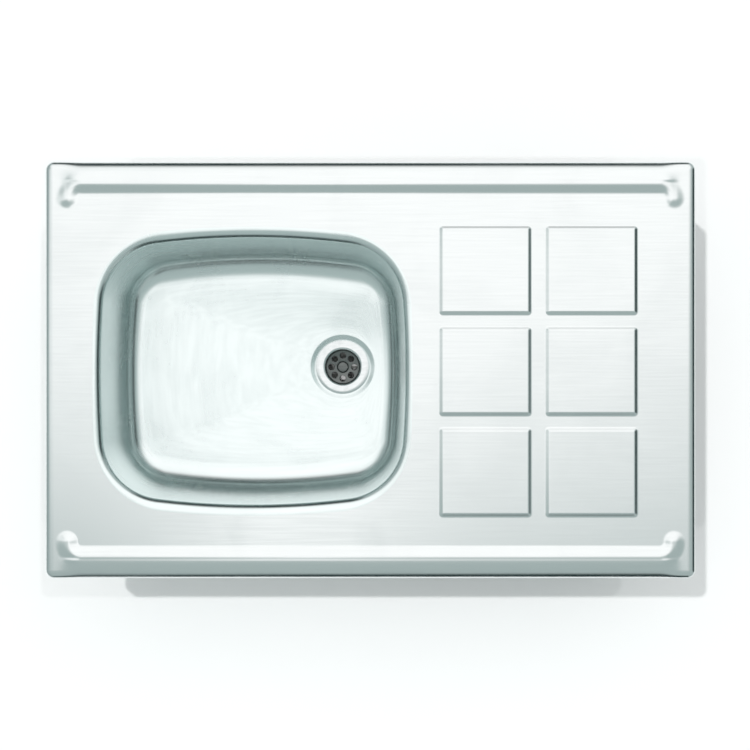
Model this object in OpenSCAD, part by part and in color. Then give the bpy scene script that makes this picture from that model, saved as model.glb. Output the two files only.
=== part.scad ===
// Lay-on kitchen sink: one bowl on the left, a drainer with raised squares on the right.
// X runs towards the drainer, Y towards the back, Z up. Z = 0 is the underside of the
// return lip, which rests on the cabinet, and the origin is the middle of that plane.

/* [Deck] */
// Length of the sink, left to right
sink_length = 780; // [760:1:900]
// Width of the sink, front to back
sink_width = 500; // [490:1:600]
// Thickness of the pressed steel sheet
sheet = 0.8; // [0.6:0.1:1]
// Height of the folded skirt, cabinet to deck
skirt_height = 30; // [26:1:45]
// Width of the lip that is folded in under the skirt
lip_width = 12; // [9:0.5:14]
// Outside radius of the roll from deck to skirt and round the four corners
edge_radius = 10; // [6:0.5:11]

/* [Bowl mouth] */
// Length of the bowl's mouth, left to right
bowl_length = 382; // [340:1:390]
// Width of the bowl's mouth, front to back
bowl_width = 344; // [320:1:350]
// From the sink's left end to the bowl's mouth
bowl_from_left = 57.5; // [52:0.5:62]
// From the sink's back edge to the bowl's mouth
bowl_from_back = 79.5; // [76:0.5:84]
// Corner radius of the bowl's mouth
bowl_corner = 91; // [75:1:110]
// How far the left and right sides of the mouth bow out
mouth_bow_ends = 1.5; // [0.5:0.5:4]
// How far the front and back sides of the mouth bow out
mouth_bow_long = 5; // [1:0.5:9]

/* [Bowl walls] */
// Depth of the bowl, deck to waste
bowl_depth = 150; // [120:1:190]
// Radius of the roll from the deck into the bowl
rim_radius = 8; // [5:0.5:12]
// Lean of the walls from upright, in degrees
wall_taper = 3; // [1:0.5:6]
// Extra run of the front and back walls at the floor
long_wall_run = 17; // [5:1:25]
// Radius between the walls and the floor
bottom_radius = 20; // [14:1:30]
// Corner radius of the floor
floor_corner = 22; // [14:1:40]
// How far the left and right sides of the floor bow out
floor_bow_ends = 6; // [1:0.5:9]
// How far the front and back sides of the floor bow out
floor_bow_long = 11; // [2:0.5:14]
// Fall of the floor from its edge to the waste
floor_fall = 4; // [2:0.5:8]

/* [Drainer] */
// Raised squares, left to right
square_columns = 2; // [1:1:2]
// Raised squares, front to back
square_rows = 3; // [2:1:3]
// From the bowl's mouth to the squares
bowl_to_squares = 33; // [32:0.5:44]
// Width of one raised square, front to back
square_width = 107; // [90:1:108]
// Gap between the columns of squares
column_gap = 17; // [14:1:24]
// Gap between the rows of squares
row_gap = 14; // [12:1:18]
// From the sink's right end to the squares
squares_from_right = 70; // [66:1:74]
// From the sink's back edge to the squares
squares_from_back = 77; // [74:0.5:84]
// Height of the squares over the deck
square_height = 1.8; // [1:0.1:3]
// Run of the pressed flank round each square
square_flank = 3; // [1.5:0.1:3.5]
// Corner radius of the squares
square_corner = 4.5; // [4:0.5:10]

/* [Beads] */
// Width of the raised bead along the front and the back
bead_width = 28; // [22:0.5:29]
// Height of the bead over the deck
bead_height = 3.2; // [2:0.1:4]
// From the front or back edge to the middle of the bead
bead_from_edge = 26; // [26:0.5:30]
// From the left or right end to the middle of the bead's tip
bead_tip_from_end = 26; // [26:0.5:36]
// Radius of the turn at the bead's ends, at its middle
bead_turn = 18; // [16:0.5:26]

/* [Stiffeners] */
// Thickness of the hat sections under the drainer
hat_sheet = 1; // [0.8:0.1:1.5]
// Width of a hat section over its flanges
hat_width = 29; // [26:0.5:30]
// Width of one flange
hat_flange = 8; // [6:0.5:9]
// Depth of a hat section
hat_depth = 12; // [8:0.5:18]
// Length of a hat section, front to back
hat_length = 340; // [250:1:370]
// From the squares to the second hat section
hat_from_squares = 12; // [8:1:18]

/* [Sound deadening] */
// Thickness of the deadening sheets
pad_thickness = 2.5; // [1.5:0.5:4]
// From the edge of the bowl's floor to its deadening sheet
bowl_pad_margin = 12; // [8:1:30]
// From the waste recess to the deadening sheet
waste_pad_margin = 12; // [8:1:30]
// From the edge of the squares in to the drainer's sheet
drainer_pad_margin = 6; // [3:1:20]

/* [Earth tag] */
// Width of the earth tag
tag_width = 12; // [10:0.5:16]
// From the lip's underside down to the middle of the hole
tag_below_lip = 9; // [7:0.5:20]
// Length of the foot that is welded to the deck
tag_foot = 13; // [9:0.5:14]
// Thickness of the tag
tag_sheet = 1; // [0.8:0.1:1.5]
// Diameter of the hole for the earth screw
tag_hole = 5.3; // [4.3:0.1:6.4]
// From the bowl's mouth back to the tag
tag_from_bowl = 14; // [10:1:18]

/* [Waste] */
// From the bowl's right side to the middle of the waste
waste_from_side = 86.5; // [80:0.5:110]
// Waste behind the middle of the bowl
waste_behind_middle = 6; // [-20:1:20]
// Diameter of the hole in the bowl
waste_hole = 52; // [50:0.5:54]
// Diameter of the steel flange
flange_diameter = 70; // [66:0.5:74]
// Diameter of the cup in the flange, where the plug fits
cup_diameter = 45; // [40:0.5:46]
// Depth of the cup under the flange
cup_depth = 11; // [8:0.5:16]
// Fall of the cup's floor from its wall to the dimple
cup_fall = 3; // [1:0.5:4]
// Radius of the roll into the cup
cup_roll = 2.5; // [1.5:0.5:3]
// Clearance round and over the screw's head in its dimple
dimple_gap = 0.6; // [0.4:0.1:1]
// Thickness of the flange and cup
cup_sheet = 1; // [0.8:0.1:1.2]
// Drain holes in the bottom of the cup
drain_holes = 8; // [5:1:9]
// Diameter of one drain hole
drain_hole = 8; // [5:0.5:8.5]
// Diameter of the circle that the drain holes lie on
drain_circle = 30; // [29:0.5:32]
// Thickness of the seal over the bowl
top_seal_height = 1.5; // [1:0.5:2]
// Thickness of the seal under the bowl
bottom_seal_height = 3; // [2:0.5:5]
// Diameter of the body's top flange
body_flange = 78; // [74:1:84]
// Thickness of the body's top flange
body_flange_height = 4; // [3:0.5:6]
// Diameter over the outlet's thread
outlet_diameter = 47.8; // [46:0.1:48.5]
// Diameter of the bore through the outlet
outlet_bore = 40; // [36:0.5:41]
// Length of the outlet's thread
outlet_length = 22; // [16:1:30]
// Height of the cone between the cup and the outlet
cone_height = 14; // [10:1:20]
// Diameter of the screw's thread
screw_diameter = 6; // [5:0.5:6.5]
// Diameter of the screw's head
screw_head = 13; // [11:0.5:15]
// Height of the screw's head
screw_head_height = 2.6; // [2:0.1:4]
// Length of the screw under its head
screw_length = 14; // [12:1:20]
// Width of the brass insert across its flats
insert_flats = 10; // [9:0.5:11]
// Height of the brass insert
insert_height = 5; // [4:0.5:6]

/* [Brackets] */
// Thickness of the cabinet's side, between skirt and bracket
board = 16; // [15.5:0.5:18]
// Thickness of the bracket
bracket_sheet = 1.5; // [1.2:0.1:2]
// Width of the bracket along the lip
bracket_width = 44; // [36:1:60]
// Height of the bracket below the lip
bracket_drop = 44; // [36:1:60]
// Reach of the hook over the lip, past the board's face
hook_reach = 11; // [8:0.5:12]
// Length of the slanted slot, end to end
slot_length = 24; // [18:0.5:30]
// Slope of the slot, in degrees
slot_angle = 30; // [15:1:45]
// From the middle of the sink to the middle of a bracket
bracket_from_middle = 150; // [110:1:160]
// Diameter over the thread of the bracket's screw
fixing_diameter = 4; // [3.5:0.5:4.5]
// Diameter of the plain neck under its head
fixing_neck = 3.2; // [2.8:0.1:3.4]
// Length of the bracket's screw under its head
fixing_length = 16; // [12:1:18]
// Diameter of the screw's head
fixing_head = 8; // [7:0.5:9]
// Height of the screw's head
fixing_head_height = 2.6; // [2:0.1:3.2]

/* [Fits] */
// Running clearance between pieces that slide
slide_gap = 0.3; // [0.2:0.05:0.5]
// Clearance round pieces that are only fitted together
seat_gap = 0.5; // [0.3:0.1:1]

/* [Hidden] */
$fn = 64;

// Straight pieces that each curve of the bowl, of the squares' corners and of the beads'
// section is made of.
corner_steps = 9;
side_steps = 7;
roll_steps = 5;
bottom_steps = 6;
square_steps = 3;
bead_steps = 7;
// How far a cutting body runs past the face that it opens.
cut = 1;

deck_top = skirt_height;
deck_under = deck_top - sheet;
half_length = sink_length / 2;
half_width = sink_width / 2;

bowl_half = [bowl_length / 2, bowl_width / 2];
bowl_middle = [bowl_from_left + bowl_half.x - half_length, half_width - bowl_from_back - bowl_half.y];
edge_depth = bowl_depth - floor_fall;
roll_bottom = rim_radius * (1 - sin(wall_taper));
wall_bottom = edge_depth - bottom_radius * (1 - sin(wall_taper));
wall_run = (wall_bottom - roll_bottom) * tan(wall_taper);
end_run = (rim_radius + bottom_radius) * cos(wall_taper) + wall_run;
floor_half = [bowl_half.x - end_run, bowl_half.y - end_run - long_wall_run];

waste_middle = [bowl_middle.x + bowl_half.x - waste_from_side, bowl_middle.y + waste_behind_middle];
recess_depth = top_seal_height + cup_sheet + seat_gap;
recess_radius = flange_diameter / 2 + 2;
recess_flank = 4;
near_share = bowl_pad_margin / floor_half.y;
far_share = 1 - waste_pad_margin / floor_half.y;
pad_shares = [near_share, (near_share + far_share) / 2, far_share];
recess_floor = deck_top - bowl_depth - recess_depth;
flange_under = recess_floor + top_seal_height;
cup_floor = flange_under - cup_depth;
bowl_under = recess_floor - sheet;
body_top = bowl_under - bottom_seal_height;
cup_outer = cup_diameter / 2 + cup_sheet;
body_bore = cup_outer + seat_gap;
body_wall = 2.5;
dimple_radius = screw_head / 2 + dimple_gap;
dimple_top = cup_floor - cup_fall;
dimple_floor = dimple_top - screw_head_height - dimple_gap;
hub_top = dimple_floor - cup_sheet;
hub_height = insert_height + 2;
cone_top = hub_top - hub_height;
outlet_top = cone_top - cone_height;
outlet_end = outlet_top - outlet_length;
hub_radius = insert_flats / 2 / cos(30) + 1.8;
// The seals stop this far inside the flanges that press on them.
seal_margin = 1;
squares_right = half_length - squares_from_right;
squares_left = bowl_middle.x + bowl_half.x + bowl_to_squares;
square_length = (squares_right - squares_left - (square_columns - 1) * column_gap) / square_columns;
squares_back = half_width - squares_from_back;
squares_front = squares_back - square_rows * square_width - (square_rows - 1) * row_gap;

board_face = half_length - board;
slot_width = fixing_diameter + 2 * slide_gap;
slot_height = -bracket_drop / 2;

// Points on an arc about middle, from one angle to another, without the last point.
function arc_points(middle, radius, from, to, steps) =
  [for (i = [0 : steps - 1]) let (a = from + (to - from) * i / steps)
    [middle.x + radius * cos(a), middle.y + radius * sin(a)]];

// Rounded rectangle whose four sides are shallow arcs that run tangent into the corners.
// half is its half size over the bows, and grow moves the whole line outwards.
function bowed_outline(half, corner, bow_ends, bow_long, grow) =
  let (r = corner + grow,
       cx = half.x - corner - bow_ends,
       cy = half.y - corner - bow_long,
       ends = 2 * atan(bow_ends / cy),
       long = 2 * atan(bow_long / cx),
       ends_r = r + cy / sin(ends),
       long_r = r + cx / sin(long),
       ends_x = half.x + grow - ends_r,
       long_y = half.y + grow - long_r)
  concat(
    arc_points([cx, cy], r, ends, 90 - long, corner_steps),
    arc_points([0, long_y], long_r, 90 - long, 90 + long, side_steps),
    arc_points([-cx, cy], r, 90 + long, 180 - ends, corner_steps),
    arc_points([-ends_x, 0], ends_r, 180 - ends, 180 + ends, side_steps),
    arc_points([-cx, -cy], r, 180 + ends, 270 - long, corner_steps),
    arc_points([0, -long_y], long_r, 270 - long, 270 + long, side_steps),
    arc_points([cx, -cy], r, 270 + long, 360 - ends, corner_steps),
    arc_points([ends_x, 0], ends_r, 360 - ends, 360 + ends, side_steps));

function mouth_outline(grow) =
  bowed_outline(bowl_half, bowl_corner, mouth_bow_ends, mouth_bow_long, grow);
function floor_outline(grow) =
  bowed_outline(floor_half, floor_corner, floor_bow_ends, floor_bow_long, grow);

function at_bowl(points) = [for (p = points) p + bowl_middle];

// The wall's section as [run, drop, lean]: run goes in from the mouth, drop goes down from
// the deck and lean turns from 0 on the deck to nearly 90 on the wall and back to 0.
wall_section = concat(
  [for (i = [0 : roll_steps]) let (a = (90 - wall_taper) * i / roll_steps)
    [rim_radius * sin(a), rim_radius * (1 - cos(a)), a]],
  [for (i = [0 : bottom_steps]) let (a = (90 - wall_taper) * (1 - i / bottom_steps))
    [end_run - bottom_radius * sin(a), edge_depth - bottom_radius * (1 - cos(a)), a]]);

// One ring of the bowl, between the mouth's outline and the floor's, on the sheet's
// inner face for depth 0 and on its outer face for depth sheet.
function wall_ring(section, depth) =
  let (share = section[0] / end_run,
       grow = depth * sin(section[2]),
       mouth = at_bowl(mouth_outline(grow)),
       floor = at_bowl(floor_outline(grow)),
       z = deck_top - section[1] - depth * cos(section[2]))
  [for (i = [0 : len(mouth) - 1]) let (p = mouth[i] * (1 - share) + floor[i] * share) [p.x, p.y, z]];

// The point on a circle round the waste that faces a point of the floor's edge.
function facing_waste(p, radius) =
  let (a = atan2(p.y - waste_middle.y, p.x - waste_middle.x))
  waste_middle + radius * [cos(a), sin(a)];

// A ring of the floor at a share of the way from its edge to the waste recess.
function floor_ring(share, depth) =
  [for (p = at_bowl(floor_outline(0)))
    let (q = p * (1 - share) + facing_waste(p, recess_radius + recess_flank) * share)
    [q.x, q.y, deck_top - edge_depth - floor_fall * share - depth]];

function recess_ring(radius, z) =
  [for (p = at_bowl(floor_outline(0))) let (q = facing_waste(p, radius)) [q.x, q.y, z]];

// All rings of one face of the bowl, from its mouth to the bottom of the recess.
function bowl_rings(depth) = concat(
  [for (s = wall_section) wall_ring(s, depth)],
  [for (share = concat(pad_shares, 1)) floor_ring(share, depth)],
  [recess_ring(recess_radius + depth, recess_floor - depth)]);

// Triangles between ring a and ring b of a list of rings that all have count points. Faces
// that lie on each other are seen from opposite sides, so one of them needs its halves flipped.
function band(a, b, count, flipped) =
  [for (i = [0 : count - 1]) each
    let (j = (i + 1) % count, ai = a * count + i, aj = a * count + j, bi = b * count + i, bj = b * count + j)
    flipped ? [[bi, aj, ai], [bi, bj, aj]] : [[bj, aj, ai], [bi, bj, ai]]];

function flatten(lists) = [for (l = lists) each l];

function reversed(list) = [for (i = [len(list) - 1 : -1 : 0]) list[i]];

// Closed solid through rings that run up the outer face and, where it is hollow, back down
// the inner face. With closed ends the first and the last ring are filled in, and else they meet.
module ring_solid(rings, closed_ends, flipped = false) {
  count = len(rings[0]);
  last = len(rings) - 1;
  bands = flatten([for (k = [0 : last - 1]) band(k, k + 1, count, flipped)]);
  seam = closed_ends ? [] : band(last, 0, count, flipped);
  first_cap = [for (i = [0 : count - 1]) i];
  last_cap = [for (i = [count - 1 : -1 : 0]) last * count + i];
  polyhedron(flatten(rings), concat(bands, seam, closed_ends ? [first_cap, last_cap] : []), convexity = 8);
}

// Section through the folded sheet: round at the top corners, square at the bottom.
module skirt_section(width, height, radius) {
  translate([-width / 2, 0]) square([width, height - radius]);
  translate([radius - width / 2, 0]) square([width - 2 * radius, height]);
  for (x = [-1, 1])
    translate([x * (width / 2 - radius), height - radius]) circle(radius);
}

// The space that the pressed deck fills, or with inset the space inside it: two long
// sections that cross, and a ball on a post in each corner.
module deck_block(inset) {
  radius = edge_radius - inset;
  height = deck_top - 2 * inset;
  middle = [half_length - edge_radius, half_width - edge_radius];
  translate([0, 0, inset]) {
    rotate([90, 0, 0]) linear_extrude(2 * middle.y, center = true)
      skirt_section(sink_length - 2 * inset, height, radius);
    rotate([90, 0, 90]) linear_extrude(2 * middle.x, center = true)
      skirt_section(sink_width - 2 * inset, height, radius);
    for (flip_x = [0, 1], flip_y = [0, 1]) mirror([flip_x, 0, 0]) mirror([0, flip_y, 0])
      translate([middle.x, middle.y, 0]) rotate_extrude(angle = 90) {
        square([radius, height - radius]);
        translate([0, height - radius]) intersection() {
          circle(radius);
          square(radius);
        }
      }
  }
}

function rectangle_ring(size, corner, z) =
  [for (turn = [0 : 3]) each
    let (x = size.x / 2 - corner, y = size.y / 2 - corner,
         middle = [[x, y], [-x, y], [-x, -y], [x, -y]][turn])
    [for (i = [0 : square_steps]) let (a = 90 * (turn + i / square_steps))
      [middle.x + corner * cos(a), middle.y + corner * sin(a), z]]];

// Flat-topped block with sloping flanks from z = 0 up, on a straight foot of the given depth.
module square_block(shift, foot) {
  base = [square_length, square_width] - 2 * [shift, shift];
  top = base - 2 * [square_flank, square_flank];
  corner = square_corner - shift;
  ring_solid([rectangle_ring(base, corner, -foot), rectangle_ring(base, corner, 0),
              rectangle_ring(top, corner - square_flank, square_height)], true);
}

module at_squares() {
  for (column = [0 : square_columns - 1], row = [0 : square_rows - 1])
    translate([squares_right - square_length / 2 - column * (square_length + column_gap),
               squares_back - square_width / 2 - row * (square_width + row_gap), 0]) children();
}

// Point on the bead's section, which falls from its crest to the deck in one soft wave.
// share runs from -1 to 1 over the width, and inset moves the point into the sheet.
function bead_point(share, inset) =
  let (reach = bead_width / 2,
       slope = -bead_height * PI / bead_width * sin(180 * share),
       shift = inset / sqrt(1 + slope * slope))
  [reach * share + shift * slope, bead_height * (1 + cos(180 * share)) / 2 - shift];

// The bead's section down to the given foot, from the share where it starts to its far side.
module bead_section(from, inset, foot) {
  steps = from < 0 ? 2 * bead_steps : bead_steps;
  polygon(concat([for (i = [0 : steps]) bead_point(from + (1 - from) * i / steps, inset)],
                 [[bead_width / 2, -foot], [from * bead_width / 2, -foot]]));
}

// Bead along the back, with its ends turned in and rounded off.
module bead(inset, foot) {
  tip = half_length - bead_tip_from_end;
  straight = tip - bead_turn;
  translate([0, half_width - bead_from_edge, deck_top]) {
    rotate([90, 0, 90]) linear_extrude(2 * straight, center = true) bead_section(-1, inset, foot);
    for (side = [0, 1]) mirror([side, 0, 0]) {
      translate([straight, -bead_turn, 0])
        rotate_extrude(angle = 90) translate([bead_turn, 0]) bead_section(-1, inset, foot);
      translate([tip, -bead_turn, 0])
        rotate_extrude(start = 180, angle = 180) bead_section(0, inset, foot);
    }
  }
}

module both_beads(inset, foot) {
  bead(inset, foot);
  mirror([0, 1, 0]) bead(inset, foot);
}

module deck() {
  slope_shift = sheet * tan(atan(square_height / square_flank) / 2);
  color("gainsboro") difference() {
    union() {
      deck_block(0);
      at_squares() translate([0, 0, deck_top]) square_block(0, sheet / 2);
      both_beads(0, sheet / 2);
    }
    deck_block(sheet);
    at_squares() translate([0, 0, deck_under]) square_block(slope_shift, cut);
    both_beads(sheet, sheet + cut);
    translate([0, 0, deck_under - cut]) linear_extrude(sheet + 2 * cut)
      polygon(at_bowl(mouth_outline(0)));
    translate([0, 0, -cut]) linear_extrude(sheet + 2 * cut)
      square([sink_length - 2 * lip_width, sink_width - 2 * lip_width], center = true);
  }
}

module bowl() {
  inner = bowl_rings(0);
  outer = bowl_rings(sheet);
  color("silver") difference() {
    ring_solid(concat(reversed(outer), inner), true);
    translate([waste_middle.x, waste_middle.y, bowl_under - cut])
      cylinder(h = sheet + 2 * cut, d = waste_hole);
  }
}

// Hat section along Y, its flanges against the underside of the deck.
module hat_section(x) {
  crown = hat_width / 2 - hat_flange;
  translate([x, bowl_middle.y, deck_under]) rotate([90, 0, 0])
    linear_extrude(hat_length, center = true)
      polygon([[-hat_width / 2, 0], [-hat_width / 2, -hat_sheet], [-crown, -hat_sheet],
               [-crown, -hat_depth], [crown, -hat_depth], [crown, -hat_sheet],
               [hat_width / 2, -hat_sheet], [hat_width / 2, 0], [crown - hat_sheet, 0],
               [crown - hat_sheet, hat_sheet - hat_depth], [hat_sheet - crown, hat_sheet - hat_depth],
               [hat_sheet - crown, 0]]);
}

module mid_stiffener() {
  color("lightsteelblue") hat_section(squares_left - bowl_to_squares / 2);
}

module end_stiffener() {
  color("lightsteelblue") hat_section(squares_right + hat_from_squares + hat_width / 2);
}

// Bitumen sheet under the bowl's floor, following its fall towards the waste.
module bowl_pad() {
  inner = [for (share = pad_shares) floor_ring(share, sheet)];
  outer = [for (share = pad_shares) floor_ring(share, sheet + pad_thickness)];
  color("dimgray") ring_solid(concat(reversed(outer), inner), false, flipped = true);
}

// Bitumen sheet under the squares, held by the flat strips between them.
module drainer_pad() {
  low = [squares_left + drainer_pad_margin, squares_front + drainer_pad_margin];
  high = [squares_right - drainer_pad_margin, squares_back - drainer_pad_margin];
  color("dimgray") translate([low.x, low.y, deck_under - pad_thickness])
    cube([high.x - low.x, high.y - low.y, pad_thickness]);
}

module earth_tag() {
  foot_front = bowl_middle.y + bowl_half.y + tag_from_bowl;
  leg = deck_under + tag_below_lip;
  color("silver") translate([bowl_middle.x, foot_front, -tag_below_lip]) difference() {
    union() {
      translate([-tag_width / 2, 0, leg - tag_sheet]) cube([tag_width, tag_foot, tag_sheet]);
      translate([-tag_width / 2, 0, 0]) cube([tag_width, tag_sheet, leg]);
      rotate([-90, 0, 0]) cylinder(h = tag_sheet, d = tag_width);
    }
    translate([0, -cut, 0]) rotate([-90, 0, 0]) cylinder(h = tag_sheet + 2 * cut, d = tag_hole);
  }
}

module at_waste(z) {
  translate([waste_middle.x, waste_middle.y, z]) children();
}

// Section of the flange and cup: a flat rim, a round roll, an upright wall, and a floor
// that falls to a dimple in the middle, which takes the screw's head.
module cup_section() {
  inside = cup_diameter / 2;
  roll = cup_roll + cup_sheet;
  floor_z = cup_floor - flange_under;
  low_z = dimple_top - flange_under;
  dimple_z = dimple_floor - flange_under;
  translate([inside + roll, 0]) square([flange_diameter / 2 - inside - roll, cup_sheet]);
  difference() {
    translate([inside + roll, cup_sheet - roll]) intersection() {
      circle(roll);
      translate([-roll, 0]) square(roll);
    }
    translate([inside + roll, cup_sheet - roll]) circle(cup_roll);
  }
  translate([inside, floor_z - cup_sheet]) square([cup_sheet, cup_depth + 2 * cup_sheet - roll]);
  polygon([[dimple_radius, low_z - cup_sheet], [inside + cup_sheet, floor_z - cup_sheet],
           [inside + cup_sheet, floor_z], [inside, floor_z], [dimple_radius, low_z]]);
  translate([dimple_radius, dimple_z - cup_sheet]) square([cup_sheet, cup_sheet + low_z - dimple_z]);
  translate([0, dimple_z - cup_sheet]) square([dimple_radius, cup_sheet]);
}

module waste_flange() {
  color("gainsboro") at_waste(flange_under) difference() {
    rotate_extrude() cup_section();
    translate([0, 0, dimple_floor - flange_under - cup_sheet - cut])
      cylinder(h = cup_sheet + 2 * cut, d = screw_diameter + seat_gap);
    for (i = [0 : drain_holes - 1]) rotate(360 * i / drain_holes)
      translate([drain_circle / 2, 0, dimple_top - flange_under - cup_sheet - cut])
        cylinder(h = cup_fall + cup_sheet + 2 * cut, d = drain_hole);
  }
}

module seal(inner, outer, height) {
  rotate_extrude() translate([inner, 0]) square([outer - inner, height]);
}

module waste_top_seal() {
  color("darkslategray") at_waste(recess_floor)
    seal(waste_hole / 2, flange_diameter / 2 - seal_margin, top_seal_height);
}

module waste_bottom_seal() {
  color("darkslategray") at_waste(body_top)
    seal(waste_hole / 2, body_flange / 2 - 2 * seal_margin, bottom_seal_height);
}

// Outline of the body: flange, upright wall round the cup, cone and threaded outlet.
module body_section() {
  side = body_bore + body_wall;
  flange_bottom = body_top - body_flange_height;
  outlet = outlet_diameter / 2;
  bore = outlet_bore / 2;
  polygon([[body_bore, body_top], [body_flange / 2, body_top], [body_flange / 2, flange_bottom],
           [side, flange_bottom], [side, cone_top], [outlet, outlet_top], [outlet, outlet_end],
           [bore, outlet_end], [bore, outlet_top], [body_bore, cone_top]]);
}

module insert_hexagon(across) {
  circle(d = across / cos(30), $fn = 6);
}

// Plastic body: three ribs across its throat carry the hub that holds the brass insert.
module waste_body() {
  rib = 2.4;
  color("whitesmoke") at_waste(0) difference() {
    union() {
      rotate_extrude() body_section();
      for (i = [0 : 2]) rotate(120 * i) translate([0, -rib / 2, cone_top])
        cube([body_bore + body_wall / 2, rib, hub_height]);
      translate([0, 0, cone_top]) cylinder(h = hub_height, r = hub_radius);
    }
    translate([0, 0, cone_top - cut]) linear_extrude(insert_height + cut) insert_hexagon(insert_flats);
    translate([0, 0, cone_top - cut]) cylinder(h = hub_height + 2 * cut, d = screw_diameter + seat_gap);
  }
}

module waste_insert() {
  color("goldenrod") at_waste(cone_top) linear_extrude(insert_height) difference() {
    insert_hexagon(insert_flats);
    circle(d = screw_diameter);
  }
}

// Screw with a slotted head, which draws the flange and the body together.
module waste_screw() {
  slot = 1.6;
  thread_gap = 0.1;
  color("silver") at_waste(dimple_floor) difference() {
    union() {
      cylinder(h = screw_head_height, d = screw_head);
      translate([0, 0, -screw_length]) cylinder(h = screw_length + cut, d = screw_diameter - thread_gap);
    }
    translate([-screw_head, -slot / 2, screw_head_height / 2]) cube([2 * screw_head, slot, screw_head_height]);
  }
}

// Places a bracket's pieces: side -1 or 1 for left or right, place -1 or 1 for front or back.
module at_bracket(side, place) {
  flip = side < 0 ? 1 : 0;
  translate([side * board_face, place * bracket_from_middle, 0]) mirror([flip, 0, 0]) children();
}

// Slot with round ends, its length along Y.
module slot_outline(width, length) {
  middle = (length - width) / 2;
  square([width, 2 * middle], center = true);
  for (y = [-middle, middle]) translate([0, y]) circle(d = width);
}

// Bracket on the inner face of the cabinet's side, its top folded out over the return lip.
module bracket(side, place) {
  top = sheet + slide_gap + bracket_sheet;
  bend = bracket_sheet + 1;
  color("lightslategray") at_bracket(side, place) difference() {
    rotate([90, 0, 0]) linear_extrude(bracket_width, center = true) {
      translate([-bracket_sheet, -bracket_drop]) square([bracket_sheet, bracket_drop + top - bend]);
      translate([bend - bracket_sheet, top - bracket_sheet])
        square([hook_reach + bracket_sheet - bend, bracket_sheet]);
      translate([bend - bracket_sheet, top - bend]) difference() {
        intersection() {
          circle(bend);
          translate([-bend, 0]) square(bend);
        }
        circle(bend - bracket_sheet);
      }
    }
    translate([-bracket_sheet - cut, 0, slot_height]) rotate([place * slot_angle, 0, 0]) rotate([0, 90, 0])
      linear_extrude(bracket_sheet + 2 * cut) slot_outline(slot_width, slot_length);
  }
}

// Screw through the slot: head on the bracket, plain neck in the slot, thread in the board.
module fixing(side, place) {
  neck = bracket_sheet + 2 * slide_gap;
  point = fixing_diameter;
  tip = 0.6;
  color("silver") at_bracket(side, place) translate([-bracket_sheet - slide_gap, 0, slot_height])
    rotate([0, 90, 0]) {
      difference() {
        translate([0, 0, -fixing_head_height]) cylinder(h = fixing_head_height, d = fixing_head);
        translate([0, 0, -fixing_head_height - cut]) cross_recess();
      }
      cylinder(h = neck, d = fixing_neck);
      translate([0, 0, neck]) cylinder(h = fixing_length - neck - point, d = fixing_diameter);
      translate([0, 0, fixing_length - point]) cylinder(h = point, d1 = fixing_diameter, d2 = tip);
    }
}

// Cross in the screw's head, open towards its top.
module cross_recess() {
  arm = fixing_head / 2;
  width = fixing_head / 8;
  depth = fixing_head_height / 2;
  for (turn = [0, 90]) rotate(turn) translate([-arm / 2, -width / 2, 0]) cube([arm, width, cut + depth]);
}

module bracket_left_front() { bracket(-1, -1); }
module bracket_left_back() { bracket(-1, 1); }
module bracket_right_front() { bracket(1, -1); }
module bracket_right_back() { bracket(1, 1); }
module fixing_left_front() { fixing(-1, -1); }
module fixing_left_back() { fixing(-1, 1); }
module fixing_right_front() { fixing(1, -1); }
module fixing_right_back() { fixing(1, 1); }

deck();
bowl();
mid_stiffener();
end_stiffener();
bowl_pad();
drainer_pad();
earth_tag();
waste_flange();
waste_top_seal();
waste_bottom_seal();
waste_body();
waste_insert();
waste_screw();
bracket_left_front();
bracket_left_back();
bracket_right_front();
bracket_right_back();
fixing_left_front();
fixing_left_back();
fixing_right_front();
fixing_right_back();
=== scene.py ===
import math
import bmesh
import bpy
from mathutils import Matrix, Vector
from mathutils.geometry import delaunay_2d_cdt


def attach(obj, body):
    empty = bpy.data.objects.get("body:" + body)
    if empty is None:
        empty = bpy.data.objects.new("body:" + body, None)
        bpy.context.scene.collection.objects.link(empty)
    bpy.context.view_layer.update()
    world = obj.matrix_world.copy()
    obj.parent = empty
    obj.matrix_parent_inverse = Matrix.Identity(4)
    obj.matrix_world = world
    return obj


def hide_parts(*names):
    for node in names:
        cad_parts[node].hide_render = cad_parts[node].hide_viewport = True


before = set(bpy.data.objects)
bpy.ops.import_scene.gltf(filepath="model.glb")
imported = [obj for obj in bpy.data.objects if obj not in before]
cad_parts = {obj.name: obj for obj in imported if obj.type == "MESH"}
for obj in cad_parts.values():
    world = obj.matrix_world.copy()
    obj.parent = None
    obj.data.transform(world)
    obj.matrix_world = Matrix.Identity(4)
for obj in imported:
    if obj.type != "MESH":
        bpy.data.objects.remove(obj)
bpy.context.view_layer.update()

mm = 0.001
print("frame loaded:", len(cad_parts), "solids")


# outlines, in millimetres

def arcPoints(middle, radius, start, end, steps):
    points = []
    for i in range(steps):
        a = math.radians(start + (end - start) * i / steps)
        points.append((middle[0] + radius * math.cos(a), middle[1] + radius * math.sin(a)))
    return points


# an arc with both of its ends
def arcSection(middle, radius, start, end, steps):
    return arcPoints(middle, radius, start, end + (end - start) / steps, steps + 1)


def circlePoints(radius, steps, middle=(0, 0)):
    return arcPoints(middle, radius, 0, 360, steps)


quadrants = ((1, 1), (-1, 1), (-1, -1), (1, -1))


def roundedRectangle(middle, halfX, halfY, radius, steps):
    points = []
    for turn, (sx, sy) in enumerate(quadrants):
        corner = (middle[0] + sx * (halfX - radius), middle[1] + sy * (halfY - radius))
        points += arcSection(corner, radius, 90 * turn, 90 * turn + 90, steps)
    return points


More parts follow.
